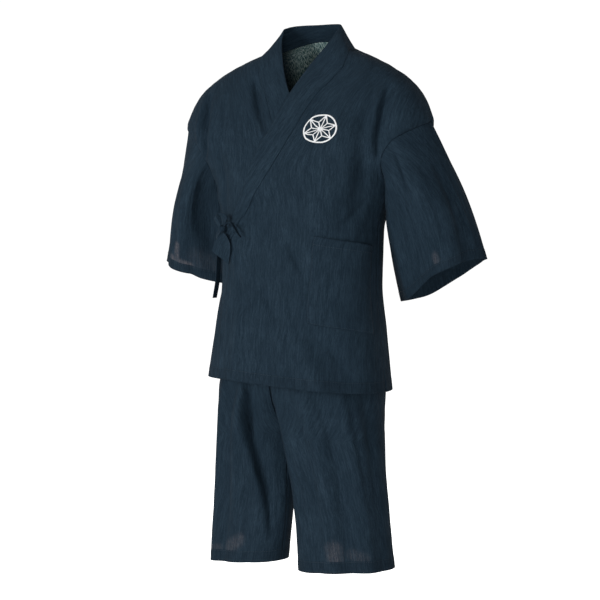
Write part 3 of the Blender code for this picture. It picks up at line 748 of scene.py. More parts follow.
def body_ring(arc, height, back):
    """A point of the plain body: at each height, a curve from the middle out to the edge."""
    wide, deep = superellipse(arc, SQUARENESS)
    table = BACK_OUTER if back else FRONT_OUTER
    edge_x, edge_y, roundness = (through(table, column, height) for column in (1, 2, 3))
    middle = through(MIDDLE, 2 if back else 1, height)
    y = edge_y + (middle - edge_y) * deep ** (SQUARENESS / roundness)
    return np.stack([edge_x * wide, y, height + 0 * wide], -1)


def body(arc, height, back=False, out=0.0):
    """A point of the draped body: the plain ring, its folds, moved out along the normal."""
    arc, height, out = np.broadcast_arrays(arc, height, out)
    step = 0.004
    inner = np.clip(arc, -1 + step, 1 - step)
    across = body_ring(inner + step, height, back) - body_ring(inner - step, height, back)
    along = body_ring(inner, height - 1, back) - body_ring(inner, height + 1, back)
    normal = unit(np.cross(along, across))
    if back:
        normal = -normal
    point = body_ring(arc, height, back)
    x = point[..., 0]
    near_side = 1 - smooth_step(0.86, 1.0, np.abs(arc))
    lift = fold_height(BACK_FOLDS if back else FRONT_FOLDS, x, height)
    lift = lift + crease_height(BACK_CREASES if back else FRONT_CREASES, x, height)
    if not back:
        lift = lift + pleat_height(FRONT_PLEATS, x, height)
    lift = lift * near_side * smooth_step(5, 60, -height)
    point = point + normal * (lift + out)[..., None]
    fall = smooth_step(-HEM_FALL_FROM, -HEM_Z, -height) * HEM_FALL_PER_MM
    point[..., 2] -= fall * np.maximum(point[..., 0], HEM_FALL_TO_X)
    return point


def arc_at_x(x, height):
    """The arc of the front at a given x."""
    share = np.clip(x / through(FRONT_OUTER, 1, height), -1, 1)
    return arc_of_share(share, SQUARENESS)


def over_lift(arc):
    """How far the left front stands off the body: nothing at its side seam."""
    return OVER_LIFT * (1 - smooth_step(0.72, 0.97, arc))


def under_lift(arc, height):
    """How far the right front moves in where the left front covers it."""
    x = through(FRONT_OUTER, 1, height) * superellipse(arc, SQUARENESS)[0]
    return -UNDER_SINK * smooth_step(0, UNDER_SINK_OVER, x - through(OVER_EDGE, 1, height))


def panel_heights(first, last):
    """Rows down a jacket panel, closer together where the shoulders are nearly level."""
    shoulder_to, shoulder_rows, spacing = -60, 26, 3.0
    near = -np.sqrt(-first / -shoulder_to)
    top = shoulder_to * np.linspace(near, -1, shoulder_rows, endpoint=False) ** 2
    rest = np.linspace(shoulder_to, last, int((shoulder_to - last) / spacing) + 1)
    return np.concatenate([top, rest])


def pull_in(grid, amounts, edge):
    """Move one edge of a grid back along its rows, to leave room for a seam."""
    line, beside = (grid[:, -1], grid[:, -2]) if edge == "last" else (grid[:, 0], grid[:, 1])
    line += unit(beside - line) * np.asarray(amounts)[..., None]


def side_gap(height):
    """How far a panel stops short of its outer edge: more in the hem slit."""
    return SEAM_GAP / 2 + smooth_step(-SLIT_TOP_Z, -HEM_Z, -height) * SLIT_HALF_WIDTH


def lengths_across(grid):
    """Distance along each row from its first point."""
    steps = np.linalg.norm(np.diff(grid, axis=1), axis=-1)
    return np.concatenate([np.zeros((len(grid), 1)), np.cumsum(steps, axis=1)], 1)


def lengths_up(grid):
    """Distance along each column from its last point, which is at the hem."""
    steps = np.linalg.norm(np.diff(grid, axis=0), axis=-1)[::-1]
    return np.concatenate([np.zeros((1, grid.shape[1])), np.cumsum(steps, axis=0)], 0)[::-1]


def grid_normals(grid, closed=False):
    """Unit normals of a grid, from its slopes along and across."""
    if closed:
        across = np.roll(grid, -1, 1) - np.roll(grid, 1, 1)
    else:
        across = np.gradient(grid, axis=1)
    return unit(np.cross(np.gradient(grid, axis=0), across))


def add_relief(grid, outward, across, up, seed, seams, hem, closed=False, strength=1.0):
    """Move a grid along its normals by the crinkle, the rolled seams and the hem's step.

    outward is 1 or -1, the side of the grid's own normals that is the outside of the cloth.
    seams is the distance from the nearest seam, and hem the height of the turned hem.
    """
    normal = grid_normals(grid, closed) * outward
    pucker = PUCKER_HEIGHT * soft_noise(across, up, 9, 16, seed + 5) * np.exp(-seams / PUCKER_REACH)
    roll = SEAM_DIP * np.exp(-((seams / SEAM_DIP_WIDTH) ** 2))
    roll = roll + SEAM_RIDGE * np.exp(-(((seams - SEAM_RIDGE_AT) / SEAM_RIDGE_WIDTH) ** 2))
    step = HEM_STEP * (1 - smooth_step(hem - 1, hem + 1, up))
    stitch = STITCH_DIP * np.exp(-(((up - hem + STITCH_FROM_FOLD) / STITCH_DIP_WIDTH) ** 2))
    wave = HEM_WAVE * soft_noise(across, up, 22, 60, seed + 7) * (1 - smooth_step(hem, hem * 2.4, up))
    near = smooth_step(0, 4, seams)
    lift = (crinkle(across, up, seed) + pucker + wave) * near + roll + step + stitch
    return grid + normal * (lift * strength)[..., None]


def front_panel(left):
    """Rows down from the shoulder, columns from the front edge to the outer edge."""
    height = panel_heights(FIRST_ROW_Z, HEM_Z)
    columns = LEFT_FRONT_COLUMNS if left else RIGHT_FRONT_COLUMNS
    side = 1 if left else -1
    edge = arc_at_x(through(OVER_EDGE if left else UNDER_EDGE, 1, height), height)
    part = np.linspace(0, 1, columns + 1)
    arc = edge[:, None] + (side - edge)[:, None] * part
    rows = height[:, None] + 0 * part
    grid = body(arc, rows, False, over_lift(arc) if left else under_lift(arc, rows))
    pull_in(grid, side_gap(height), "last")
    pull_in(grid, SEAM_GAP / 2, "first")
    return grid, arc, rows


def back_panel():
    """Rows down from the neck, columns from the wearer's right to the left."""
    height = panel_heights(-0.01, HEM_Z)
    part = np.linspace(-1, 1, BACK_COLUMNS)
    rows = height[:, None] + 0 * part
    grid = body(part, rows, True)
    share = superellipse(part, SQUARENESS)[0]
    grid[..., 2] += NECK_RISE * (1 - share**2) * (1 - smooth_step(0, 60, -rows))
    pull_in(grid, side_gap(height), "last")
    pull_in(grid, side_gap(height), "first")
    return grid, part + 0 * rows, rows


def collar_side(left):
    """One front half of the collar: straight from its seam to its free edge, laid on the body."""
    table = OVER_COLLAR if left else UNDER_COLLAR
    seam_table = OVER_EDGE if left else UNDER_EDGE
    height = panel_heights(-0.01, table[-1][0])
    seam_arc = arc_at_x(through(seam_table, 1, height), height)
    lift = over_lift(seam_arc) if left else under_lift(seam_arc, height)
    seam = body(seam_arc, height, False, lift)
    free = np.stack([through(table, column, height) for column in (1, 2, 3)], -1)
    part = np.linspace(0, 1, COLLAR_COLUMNS + 1)
    grid = seam[:, None] + (free - seam)[:, None] * part[:, None]
    on_body = through(table, 4, height)[:, None] * np.ones(len(part))
    on_body = np.maximum(on_body, (1 - part) ** 2 * smooth_step(20, 60, -height)[:, None])
    arc = arc_at_x(grid[..., 0], grid[..., 2])
    lift = over_lift(arc) if left else under_lift(arc, grid[..., 2])
    laid = body(arc, grid[..., 2], False, lift)
    grid = grid + (laid - grid) * on_body[..., None]
    grid[:, 0] = seam
    pull_in(grid, SEAM_GAP / 2, "first")
    return grid


def collar():
    """The whole band: from the tie up the left front, round the neck and down the right front."""
    left, right = collar_side(True), collar_side(False)
    turn = np.linspace(1, -1, COLLAR_NECK_ROWS)[1:-1]
    seam = body_ring(turn, np.zeros(len(turn)), True)
    share = superellipse(turn, SQUARENESS)[0]
    seam[:, 2] += NECK_RISE * (1 - share**2)
    free = np.stack([through(COLLAR_TOP, column, np.abs(share)) for column in (1, 2, 3)], -1)
    free[:, 0] *= np.sign(share)
    part = np.linspace(0, 1, COLLAR_COLUMNS + 1)
    neck = seam[:, None] + (free - seam)[:, None] * part[:, None]
    pull_in(neck, SEAM_GAP / 2, "first")
    return np.concatenate([left[::-1], neck, right])


def closed_through(points, turns):
    """A smooth closed curve through evenly spaced points, read at shares of a turn."""
    points = np.array(points, float)
    count = len(points)
    place = turns * count
    low = np.floor(place).astype(int)
    part = (place - low)[:, None]
    before, start, end, after = (points[(low + shift) % count] for shift in (-1, 0, 1, 2))
    return start + 0.5 * part * (
        end - before
        + part * (2 * before - 5 * start + 4 * end - after + part * (3 * (start - end) + after - before))
    )


def armhole_loop(turns):
    """The left armhole from the shoulder down the front to the armpit and up the back."""
    height = np.linspace(ARM_TOP_Z, ARMPIT_Z, 60)
    spans = len(height) - 1
    front = body(np.ones(len(height)), height, False)
    back = body(np.ones(len(height)), height, True)[::-1]
    loop = np.concatenate([front[:-1], (front[-1:] + back[:1]) / 2, back[1:]])
    loop[0] = loop[-1] = (front[0] + back[-1]) / 2
    place = turns * 2 * spans
    return np.stack([np.interp(place, np.arange(2 * spans + 1), loop[:, i]) for i in range(3)], -1)


def sleeve(middle_ring, cuff_ring, creases, seed):
    """A left sleeve: rings from the armhole to the cuff, bent through the middle ring."""
    turns = np.linspace(0, 1, SLEEVE_COLUMNS, endpoint=False)
    top = armhole_loop(turns)
    cuff = closed_through(cuff_ring, turns)
    middle = closed_through(middle_ring, turns)
    part = np.linspace(0, 1, SLEEVE_ROWS + 1)[:, None, None]
    bend = 2 * middle - (top + cuff) / 2
    grid = (1 - part) ** 2 * top + 2 * part * (1 - part) * bend + part**2 * cuff
    axis = unit(cuff.mean(0) - top.mean(0))
    share = part[..., 0]
    grid += axis * ARMHOLE_GAP * (1 - smooth_step(0, 0.05, part))
    at_armpit = smooth_step(0.26, 0.46, 0.5 - np.abs(turns - 0.5))
    grid[..., 0] += ARMPIT_STEP_OUT * at_armpit * (1 - smooth_step(0.08, 0.22, share))
    outward = -grid_normals(grid, True)
    lift = np.zeros(grid.shape[:2])
    for turn_top, turn_cuff, width, rise in SLEEVE_FOLDS:
        centre = turn_top + (turn_cuff - turn_top) * share
        lift -= rise * np.exp(-((turns - centre) ** 2) / width**2)
    lift *= smooth_step(0.05, 0.5, share) * (0.55 + 0.45 * share)
    fine = np.zeros(grid.shape[:2])
    for turn0, down0, turn1, down1, bow, width, rise in SLEEVE_CREASES + creases:
        along = np.clip((share - down0) / (down1 - down0), 0, 1)
        centre = turn0 + (turn1 - turn0) * along + bow * 4 * along * (1 - along)
        fine += rise * np.sin(np.pi * along) ** 0.8 * crease_shape(turns - centre, width)
    lift = (lift + fine) * smooth_step(0, 0.05, np.minimum(turns, 1 - turns))
    lift *= smooth_step(0, 0.06, np.abs(turns - 0.5))
    grid = grid + outward * lift[..., None]
    around = np.append(0, np.cumsum(np.linalg.norm(np.diff(cuff, axis=0), axis=-1)))
    across = around + 0 * share
    up = lengths_up(grid)
    from_armhole = up[0] - up
    seams = np.minimum(from_armhole, np.abs(turns - 0.5) * around[-1] + 0 * share)
    relief = add_relief(grid, -1, across, up, seed, seams, CUFF_HEM, True)
    return relief, across, up


def pocket():
    """The patch on the left front, moved out, with its mouth standing a little open."""
    height = np.linspace(POCKET_TOP_Z, POCKET_BOTTOM_Z, POCKET_ROWS)
    part = np.linspace(POCKET_FROM, POCKET_TO, POCKET_COLUMNS)
    edge = arc_at_x(through(OVER_EDGE, 1, height), height)[:, None]
    arc = edge + (1 - edge) * part
    share = (part - part[0]) / (part[-1] - part[0])
    down = ((POCKET_TOP_Z - height) / (POCKET_TOP_Z - POCKET_BOTTOM_Z))[:, None]
    gape = POCKET_GAPE * np.sin(np.pi * share) * (1 - smooth_step(0, 0.35, down))
    sewn = np.minimum(smooth_step(0, 0.12, share), smooth_step(0, 0.12, 1 - share))
    sewn = np.minimum(sewn, smooth_step(0, 0.10, 1 - down))
    out = over_lift(arc) + CLOTH + POCKET_SEWN_GAP + (POCKET_LIFT - CLOTH) * sewn + gape
    return body(arc, height[:, None] - POCKET_FALL * share, False, out)


def on_leg(rows):
    """Rows of a leg's table with their shares across as millimetres."""
    return [(x0 * LEG_SPAN, z0, x1 * LEG_SPAN, z1, *rest) for x0, z0, x1, z1, *rest in rows]


def leg_panel(back, creases, pleats):
    """Half of the left leg: rows down from the waist, columns from the inside to the side."""
    height = np.linspace(WAIST_Z, LEG_HEM_Z, LEG_ROWS)[:, None]
    middle_x = through(LEG, 1, height)
    half_width = through(LEG, 2, height)
    front_y, back_y = through(LEG, 3, height), through(LEG, 4, height)
    turn = np.radians(through(LEG, 5, height))
    inner_share = np.clip(-(middle_x - SEAM_GAP) / half_width, -1, 1)
    inner = arc_of_share(inner_share, LEG_SQUARENESS)
    part = np.linspace(0, 1, LEG_COLUMNS)
    arc = inner + (1 - inner) * part
    wide, deep = superellipse(arc, LEG_SQUARENESS)
    middle_y = (front_y + back_y) / 2
    depth = (back_y - front_y) / 2 * (1 if back else -1)
    folds = BACK_LEG_FOLDS if back else FRONT_LEG_FOLDS
    near_edge = smooth_step(0, 0.18, part) * smooth_step(0, 0.15, 1 - part)
    lift = fold_height(on_leg(folds), wide * LEG_SPAN, height)
    lift = lift + crease_height(on_leg(LEG_CREASES + creases), wide * LEG_SPAN, height)
    lift = (lift + pleat_height(on_leg(pleats), wide * LEG_SPAN, height)) * near_edge
    across = wide * (half_width + lift)
    over = deep * (depth + lift * (1 if back else -1))
    x = middle_x + across * np.cos(turn) - over * np.sin(turn)
    y = middle_y + across * np.sin(turn) + over * np.cos(turn)
    turned_in = smooth_step(-RISE_TURNS_Z, -RISE_END_Z, -height)
    x = np.maximum(x, SEAM_GAP / 2 + CLOTH * turned_in)
    grid = np.stack([x, y, height + 0 * x], -1)
    pull_in(grid, SEAM_GAP / 2, "last")
    pull_in(grid, SEAM_GAP / 2, "first")
    return grid


def waistband():
    """The band on top of the legs: their top ring, with shallow gathers standing out of it."""
    turn = np.arange(WAISTBAND_POINTS) / WAISTBAND_POINTS * 4
    quarter = np.floor(turn).astype(int)
    part = turn - quarter
    arc = np.where(quarter % 2 == 0, part, 1 - part)
    wide, deep = superellipse(arc, LEG_SQUARENESS)
    half_width, front_y, back_y = LEG[0][2:5]
    in_front = (quarter == 0) | (quarter == 3)
    x = half_width * wide * np.where(quarter < 2, 1, -1)
    middle_y = (front_y + back_y) / 2
    y = middle_y + np.where(in_front, front_y - middle_y, back_y - middle_y) * deep
    rise = WAISTBAND_HEIGHT * np.linspace(1, 0, WAISTBAND_ROWS)
    height = (WAIST_Z + WAISTBAND_GAP + rise)[:, None]
    ripple = np.cos(turn / 4 * 2 * np.pi * WAISTBAND_GATHERS)
    ripple = ripple * np.sin(np.pi * rise / WAISTBAND_HEIGHT)[:, None]
    scale = 1 + ripple / half_width
    return np.stack([x * scale, middle_y + (y - middle_y) * scale, height + 0 * x], -1)


def strip(table, rows, columns, seed):
    """A strip of cloth: its middle line and its direction across, with slight crinkled ribs that fade at
    its ends and edges.
    """
    table = np.array(table, float)
    steps = np.arange(len(table), dtype=float)
    at = np.linspace(0, len(table) - 1, rows)
    keyed = np.column_stack([steps, table])
    middle = np.stack([through(keyed, column, at) for column in (1, 2, 3)], -1)
    across = unit(np.stack([through(keyed, column, at) for column in (4, 5, 6)], -1))
    width = through(keyed, 7, at)
    share = np.linspace(-0.5, 0.5, columns)
    grid = middle[:, None] + across[:, None] * (width[:, None] * share)[..., None]
    normal = grid_normals(grid)
    inside = np.sin(np.pi * np.arange(rows) / (rows - 1))[:, None]
    ribs = 0.35 * soft_noise(share * 40, at[:, None] * 14, 4, 22, seed)
    return grid + normal * (ribs * inside * (1 - (2 * share) ** 4))[..., None]


def knot(rings=40, points=64):
    """A flattened ball whose radius dips along slanting wraps, between two closed poles."""
    tilt = np.linspace(0, np.pi, rings + 1)[:, None]
    turn = np.linspace(0, 2 * np.pi, points, endpoint=False)
    wrap = 1 - 0.07 * np.exp(-((np.sin(1.5 * tilt + turn / 2) / 0.25) ** 2))
    wrap = wrap * (1 - 0.04 * np.cos(3 * turn + 4 * tilt) * np.sin(tilt))
    x = np.sin(tilt) * np.cos(turn) * KNOT_SIZE[0] * wrap
    y = np.sin(tilt) * np.sin(turn) * KNOT_SIZE[1] * wrap
    z = np.cos(tilt) * KNOT_SIZE[2] + 0 * turn
    spin = np.radians(KNOT_TURN_DEGREES)
    grid = np.stack([x * np.cos(spin) - y * np.sin(spin), x * np.sin(spin) + y * np.cos(spin), z], -1)
    return grid + np.array(KNOT_AT)


def mirrored(grid):
    return grid * np.array([-1, 1, 1])


def tilted(grid, hem_tilt):
    """A leg with its lower part raised by hem_tilt's two amounts, more towards its hem."""
    at_middle, per_mm = hem_tilt
    low = smooth_step(-LEG_HEM_TILT_FROM_Z, -LEG_HEM_Z, -grid[..., 2])
    grid = grid.copy()
    grid[..., 2] += low * (at_middle + per_mm * grid[..., 0])
    return grid


def leaned(grid):
    """A leg with its front moved to the wearer's right, most beside the middle of the set."""
    in_front = smooth_step(-RISE_LEAN_FROM_Y, -RISE_LEAN_TO_Y, -grid[..., 1])
    near_middle = np.exp(-((grid[..., 0] / RISE_LEAN_WIDTH) ** 2))
    grid = grid.copy()
    grid[..., 0] -= through(RISE_LEAN, 1, grid[..., 2]) * in_front * near_middle
    return grid


def add_object(name, data):
    thing = bpy.data.objects.new(name, data)
    bpy.context.scene.collection.objects.link(thing)
    return thing


def add_grid(name, grid, across, up, materials, node, flip=False, closed=False, wall=None,
             side=1, values=None, plain=None):
    """A grid of points as one mesh with a cloth map, thickened where wall is given.

    across and up are distances on the cloth in millimetres, one more column than the grid's
    points on a closed one, and the map holds them in metres. plain is the distance across where
    the map leans with the collar, for what is printed on the cloth.
    """
    rows, columns = grid.shape[:2]
    spans = columns if closed else columns - 1
    row, column = np.meshgrid(np.arange(rows - 1), np.arange(spans), indexing="ij")
    row, column = row.ravel(), column.ravel()
    corners = [(row, column), (row, column + 1), (row + 1, column + 1), (row + 1, column)]
    if flip:
        corners = corners[::-1]
    faces = np.stack([r * columns + c % columns for r, c in corners], 1)
    charts = {"cloth": across} if plain is None else {"cloth": across, "plain": plain}
    mesh = bpy.data.meshes.new(name)
    mesh.from_pydata((grid.reshape(-1, 3) * METRE).tolist(), [], faces.tolist())
    for label, distance in charts.items():
        chart = np.stack([distance, up], -1) * METRE
        uv = np.stack([chart[r, c] for r, c in corners], 1)
        mesh.uv_layers.new(name=label).data.foreach_set("uv", uv.ravel().astype(np.float32))
    for label, amount in (values or {}).items():
        attribute = mesh.attributes.new(label, "FLOAT", "POINT")
        amount = np.broadcast_to(amount, grid.shape[:2])
        attribute.data.foreach_set("value", amount.astype(np.float32).ravel())
    mesh.shade_smooth()
    thing = add_object(name, mesh)
    for material in materials:
        mesh.materials.append(material)
    if wall is not None:
        solid = thing.modifiers.new("wall", "SOLIDIFY")
        solid.thickness = wall * METRE
        solid.offset = side
        solid.use_even_offset = False
        solid.material_offset = 1 if len(materials) > 1 else 0
    if node:
        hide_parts(node)
    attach(thing, "root")
    return thing


# The shader groups.


class Nodes:
    """Short calls that add nodes to one tree and join them up."""

    def __init__(self, tree):
        self.tree = tree

    def add(self, kind, inputs=None, **settings):
        """A node with its settings, and then its inputs by name or number: values or sockets."""
        node = self.tree.nodes.new(kind)
        for key, value in settings.items():
            setattr(node, key, value)
        for key, value in (inputs or {}).items():
            self.put(node.inputs[key], value)
        return node

    def put(self, socket, value):
        if isinstance(value, bpy.types.NodeSocket):
            self.tree.links.new(value, socket)
        else:
            socket.default_value = value

    def math(self, operation, *values):
        return self.add("ShaderNodeMath", dict(enumerate(values)), operation=operation).outputs[0]

    def times(self, first, second):
        return self.math("MULTIPLY", first, second)

    def plus(self, first, second):
        return self.math("ADD", first, second)

    def minus(self, first, second):
        return self.math("SUBTRACT", first, second)

    def split(self, vector):
        return self.add("ShaderNodeSeparateXYZ", {0: vector}).outputs

    def bump(self, strength, distance, height):
        inputs = {"Strength": strength, "Distance": distance, "Height": height}
        return self.add("ShaderNodeBump", inputs).outputs[0]

    def ramp(self, value, low, high):
        """0 below low, 1 above high, and a smooth step between them."""
        inputs = {"Value": value, "From Min": low, "From Max": high}
        node = self.add("ShaderNodeMapRange", inputs, interpolation_type="SMOOTHSTEP")
        return node.outputs["Result"]

    def vector(self, operation, first, second):
        node = self.add("ShaderNodeVectorMath", {0: first, 1: second}, operation=operation)
        return node.outputs[0]

    def noise(self, vector, scale_across, scale_along, detail=2.0, roughness=0.5):
        scaled = self.vector("MULTIPLY", vector, (scale_across, scale_along, 1.0))
        inputs = {"Vector": scaled, "Scale": 1.0, "Detail": detail, "Roughness": roughness}
        return self.add("ShaderNodeTexNoise", inputs).outputs[0]

    def mix(self, factor, first, second):
        inputs = {0: factor, 6: first, 7: second}
        return self.add("ShaderNodeMix", inputs, data_type="RGBA").outputs[2]


def new_group(name, inputs, outputs):
    """A shader group, its nodes, and the sockets it reads from and writes to."""
    group = bpy.data.node_groups.new(name, "ShaderNodeTree")
    for label, kind in inputs:
        group.interface.new_socket(name=label, in_out="INPUT", socket_type="NodeSocket" + kind)
    for label in outputs:
        group.interface.new_socket(name=label, in_out="OUTPUT", socket_type="NodeSocketFloat")
    nodes = Nodes(group)
    entry, leave = nodes.add("NodeGroupInput"), nodes.add("NodeGroupOutput")
    return group, nodes, entry.outputs, leave.inputs


def new_material(name):
    material = bpy.data.materials.new(name)
    material.use_nodes = True
    tree = material.node_tree
    return material, Nodes(tree), tree.nodes["Principled BSDF"].inputs


def crepe_group():
    """Height, tone and roughness of crinkled cotton on a map in metres, warp along its second axis.

    Tone is 0 in the troughs of the crinkle and 1 on its ribs. It follows the height, so it is painted
    shade in the troughs and wrinkle grooves and painted light on the ribs, under a random unevenness.
    Threads are half a millimetre apart.
    """
    inputs = (("Map", "Vector"), ("Rib", "Float"), ("Thread", "Float"))
    group, nodes, entry, leave = new_group("crepe", inputs, ("Tone", "Height", "Roughness"))
    place = entry["Map"]
    sway = nodes.noise(place, 22, 12, 1.0)
    sway = nodes.times(nodes.minus(sway, 0.5), 0.006)
    bent = nodes.vector("ADD", place, nodes.add("ShaderNodeCombineXYZ", {0: sway}).outputs[0])
    wide = nodes.noise(bent, 120, 14, 1.5)
    ribs = nodes.noise(bent, 340, 42, 2.5, 0.6)
    hair = nodes.noise(bent, 950, 190, 2.0, 0.6)
    patch = nodes.noise(place, 16, 9, 2.0)
    # Tone follows the crinkle's height: painted shade in its troughs and painted light on its ribs.
    crests = nodes.ramp(ribs, 0.34, 0.68)
    body_tone = nodes.times(nodes.ramp(wide, 0.3, 0.7), 0.26)
    tone = nodes.plus(nodes.times(crests, 0.38), body_tone)
    tone = nodes.plus(tone, nodes.times(nodes.ramp(hair, 0.3, 0.72), 0.36))
    uneven = nodes.plus(0.75, nodes.times(nodes.ramp(patch, 0.3, 0.7), 0.4))
    tone = nodes.times(tone, uneven)
    coarse = nodes.noise(bent, 150, 15, 2.0, 0.6)
    # The wrinkle lines are grooves in the height and darker in tone: painted shade.
    wrinkle = nodes.math("ABSOLUTE", nodes.minus(coarse, 0.5))
    wrinkle = nodes.ramp(wrinkle, 0.0, 0.055)
    tone = nodes.times(tone, nodes.plus(0.55, nodes.times(wrinkle, 0.45)))
    along, up, _ = nodes.split(place)
    turns = 2 * np.pi / THREAD_PITCH
    warp = nodes.math("SINE", nodes.times(along, turns))
    weft = nodes.math("SINE", nodes.times(up, turns))
    threads = nodes.times(nodes.times(warp, weft), entry["Thread"])
    height = nodes.times(nodes.plus(crests, body_tone), entry["Rib"])
    height = nodes.plus(height, nodes.times(hair, 0.18))
    height = nodes.plus(height, nodes.times(wrinkle, 0.5))
    height = nodes.plus(height, threads)
    nodes.put(leave["Tone"], tone)
    nodes.put(leave["Height"], height)
    nodes.put(leave["Roughness"], nodes.minus(0.92, nodes.times(tone, 0.22)))
    return group


def star_group():
    """1 on the lines of a ring that holds a hemp leaf star, on a map in units of its radius.

    The plane is folded into one of six sectors, each with a spoke, half an axis and a slant.
    """
    inputs = (("Map", "Vector"), ("Line", "Float"))
    group, nodes, entry, leave = new_group("leaf_star", inputs, ("Mask",))
    x, y, _ = nodes.split(entry["Map"])
    line = entry["Line"]
    radius = nodes.math("SQRT", nodes.plus(nodes.times(x, x), nodes.times(y, y)))
    angle = nodes.math("ARCTAN2", y, x)
    sector = np.pi / 3
    folded = nodes.math("PINGPONG", nodes.plus(angle, 8 * sector), sector / 2)
    near = nodes.times(radius, nodes.math("COSINE", folded))
    off = nodes.times(radius, nodes.math("SINE", folded))
    reach, ring_at, away = 0.93, 0.95, 10.0
    knee = 0.577 * reach
    spoke = nodes.math("ABSOLUTE", nodes.minus(nodes.times(near, 0.5), nodes.times(off, 0.866)))
    inward = nodes.times(nodes.minus(near, knee), 0.866)
    slant = nodes.math("ABSOLUTE", nodes.minus(inward, nodes.times(off, 0.5)))
    slant = nodes.plus(slant, nodes.times(nodes.math("LESS_THAN", near, knee), away))
    past_knee = nodes.times(nodes.math("GREATER_THAN", near, knee), away)
    axis = nodes.plus(nodes.math("ABSOLUTE", off), past_knee)
    lines = nodes.math("MINIMUM", nodes.math("MINIMUM", spoke, axis), slant)
    lines = nodes.plus(lines, nodes.times(nodes.math("GREATER_THAN", radius, reach), away))
    ring = nodes.math("ABSOLUTE", nodes.minus(radius, ring_at))
    thick = nodes.times(line, 1.35)
    on_ring = nodes.math("LESS_THAN", ring, thick)
    on_star = nodes.math("LESS_THAN", lines, line)
    nodes.put(leave["Mask"], nodes.math("MAXIMUM", on_ring, on_star))
    return group


THREAD_PITCH = 0.0005
CREPE = crepe_group()
STAR = star_group()

# Painted shade and light of the crinkle: the trough colour is the cloth shaded, the rib colour the cloth
# lit, and the hem has a darker pair.
SHADED_TROUGH = (0.0070, 0.0168, 0.0280, 1)
LIT_RIB = (0.0200, 0.0405, 0.0620, 1)
HEM_SHADED_TROUGH = tuple(0.7 * share for share in SHADED_TROUGH[:3]) + (1,)
HEM_LIT_RIB = (0.0118, 0.0252, 0.0405, 1)
# Painted light: the lighter colour of single cloth with light shining through it.
SHEER_LIGHT_THROUGH = (0.112, 0.108, 0.122, 1)
# Painted light: the back's inside below the neck, lit through the cloth, as a bright speckled colour.
INSIDE_BACKLIT_RIB = (0.44, 0.56, 0.53, 1)
INSIDE_BACKLIT_TROUGH = (0.030, 0.085, 0.095, 1)
PRINT_WHITE = (0.86, 0.87, 0.88, 1)
THREAD_LOW = (0.008, 0.018, 0.030, 1)
THREAD_HIGH = (0.022, 0.042, 0.064, 1)


def cloth_material(name, relief=0.00032, hem=0.0, mark=None, masks=()):
    """Crinkled navy cotton, its tone painted shade and light of the crinkle. masks names the attributes
    it reads: inside, or sheer with a hem, each a place where light through the cloth is painted.
    """
    material, nodes, shader = new_material(name)
    chart = nodes.add("ShaderNodeUVMap", uv_map="cloth").outputs[0]
    inputs = {"Map": chart, "Rib": 1.0, "Thread": 0.05}
    crepe = nodes.add("ShaderNodeGroup", inputs, node_tree=CREPE).outputs
    # Painted shade in the crinkle's troughs and painted light on its ribs, mixed by the tone.
    colour = nodes.mix(crepe["Tone"], SHADED_TROUGH, LIT_RIB)
    if hem:
        up = nodes.split(chart)[1]
        in_hem = nodes.minus(1.0, nodes.ramp(up, hem - 0.0012, hem + 0.0012))
        dark = nodes.mix(crepe["Tone"], HEM_SHADED_TROUGH, HEM_LIT_RIB)
        colour = nodes.mix(nodes.times(in_hem, 0.4), colour, dark)
    # Painted light: where the cloth is single, light shining through it is painted as a lighter,
    # streaked and speckled colour.
    if "sheer" in masks:
        amount = nodes.add("ShaderNodeAttribute", attribute_name="sheer").outputs["Fac"]
        streak = nodes.ramp(nodes.noise(chart, 300, 22, 2.0), 0.34, 0.66)
        speckle = nodes.ramp(nodes.noise(chart, 620, 170, 3.0, 0.7), 0.38, 0.64)
        for uneven in (streak, speckle):
            amount = nodes.times(amount, nodes.plus(0.35, nodes.times(uneven, 0.65)))
        single = nodes.ramp(up, hem - 0.001, hem + 0.002)
        colour = nodes.mix(nodes.times(amount, single), colour, SHEER_LIGHT_THROUGH)
    # Painted light through the back's inside below the neck, speckled.
    if "inside" in masks:
        amount = nodes.add("ShaderNodeAttribute", attribute_name="inside").outputs["Fac"]
        speckle = nodes.ramp(nodes.noise(chart, 560, 110, 3.0, 0.75), 0.46, 0.60)
        colour = nodes.mix(amount, colour, nodes.mix(speckle, INSIDE_BACKLIT_TROUGH, INSIDE_BACKLIT_RIB))
    if mark:
        centre_across, centre_up, radius, line, slant = mark
        turn = nodes.add("ShaderNodeMapping", {
            "Vector": nodes.add("ShaderNodeUVMap", uv_map="plain").outputs[0],
            "Location": (centre_across, centre_up, 0.0),
            "Rotation": (0.0, 0.0, slant),
            "Scale": (radius, radius, 1.0),
        }, vector_type="TEXTURE")
        star = nodes.add("ShaderNodeGroup", {"Map": turn.outputs[0], "Line": line}, node_tree=STAR)
        colour = nodes.mix(star.outputs["Mask"], colour, PRINT_WHITE)
    nodes.put(shader["Base Color"], colour)
    nodes.put(shader["Roughness"], crepe["Roughness"])
    nodes.put(shader["Normal"], nodes.bump(1.0, relief, crepe["Height"]))
    shader["Specular IOR Level"].default_value = 0.12
    shader["Sheen Weight"].default_value = 0.01
    shader["Sheen Roughness"].default_value = 0.5
    shader["Sheen Tint"].default_value = (0.6, 0.75, 0.9, 1)
    return material


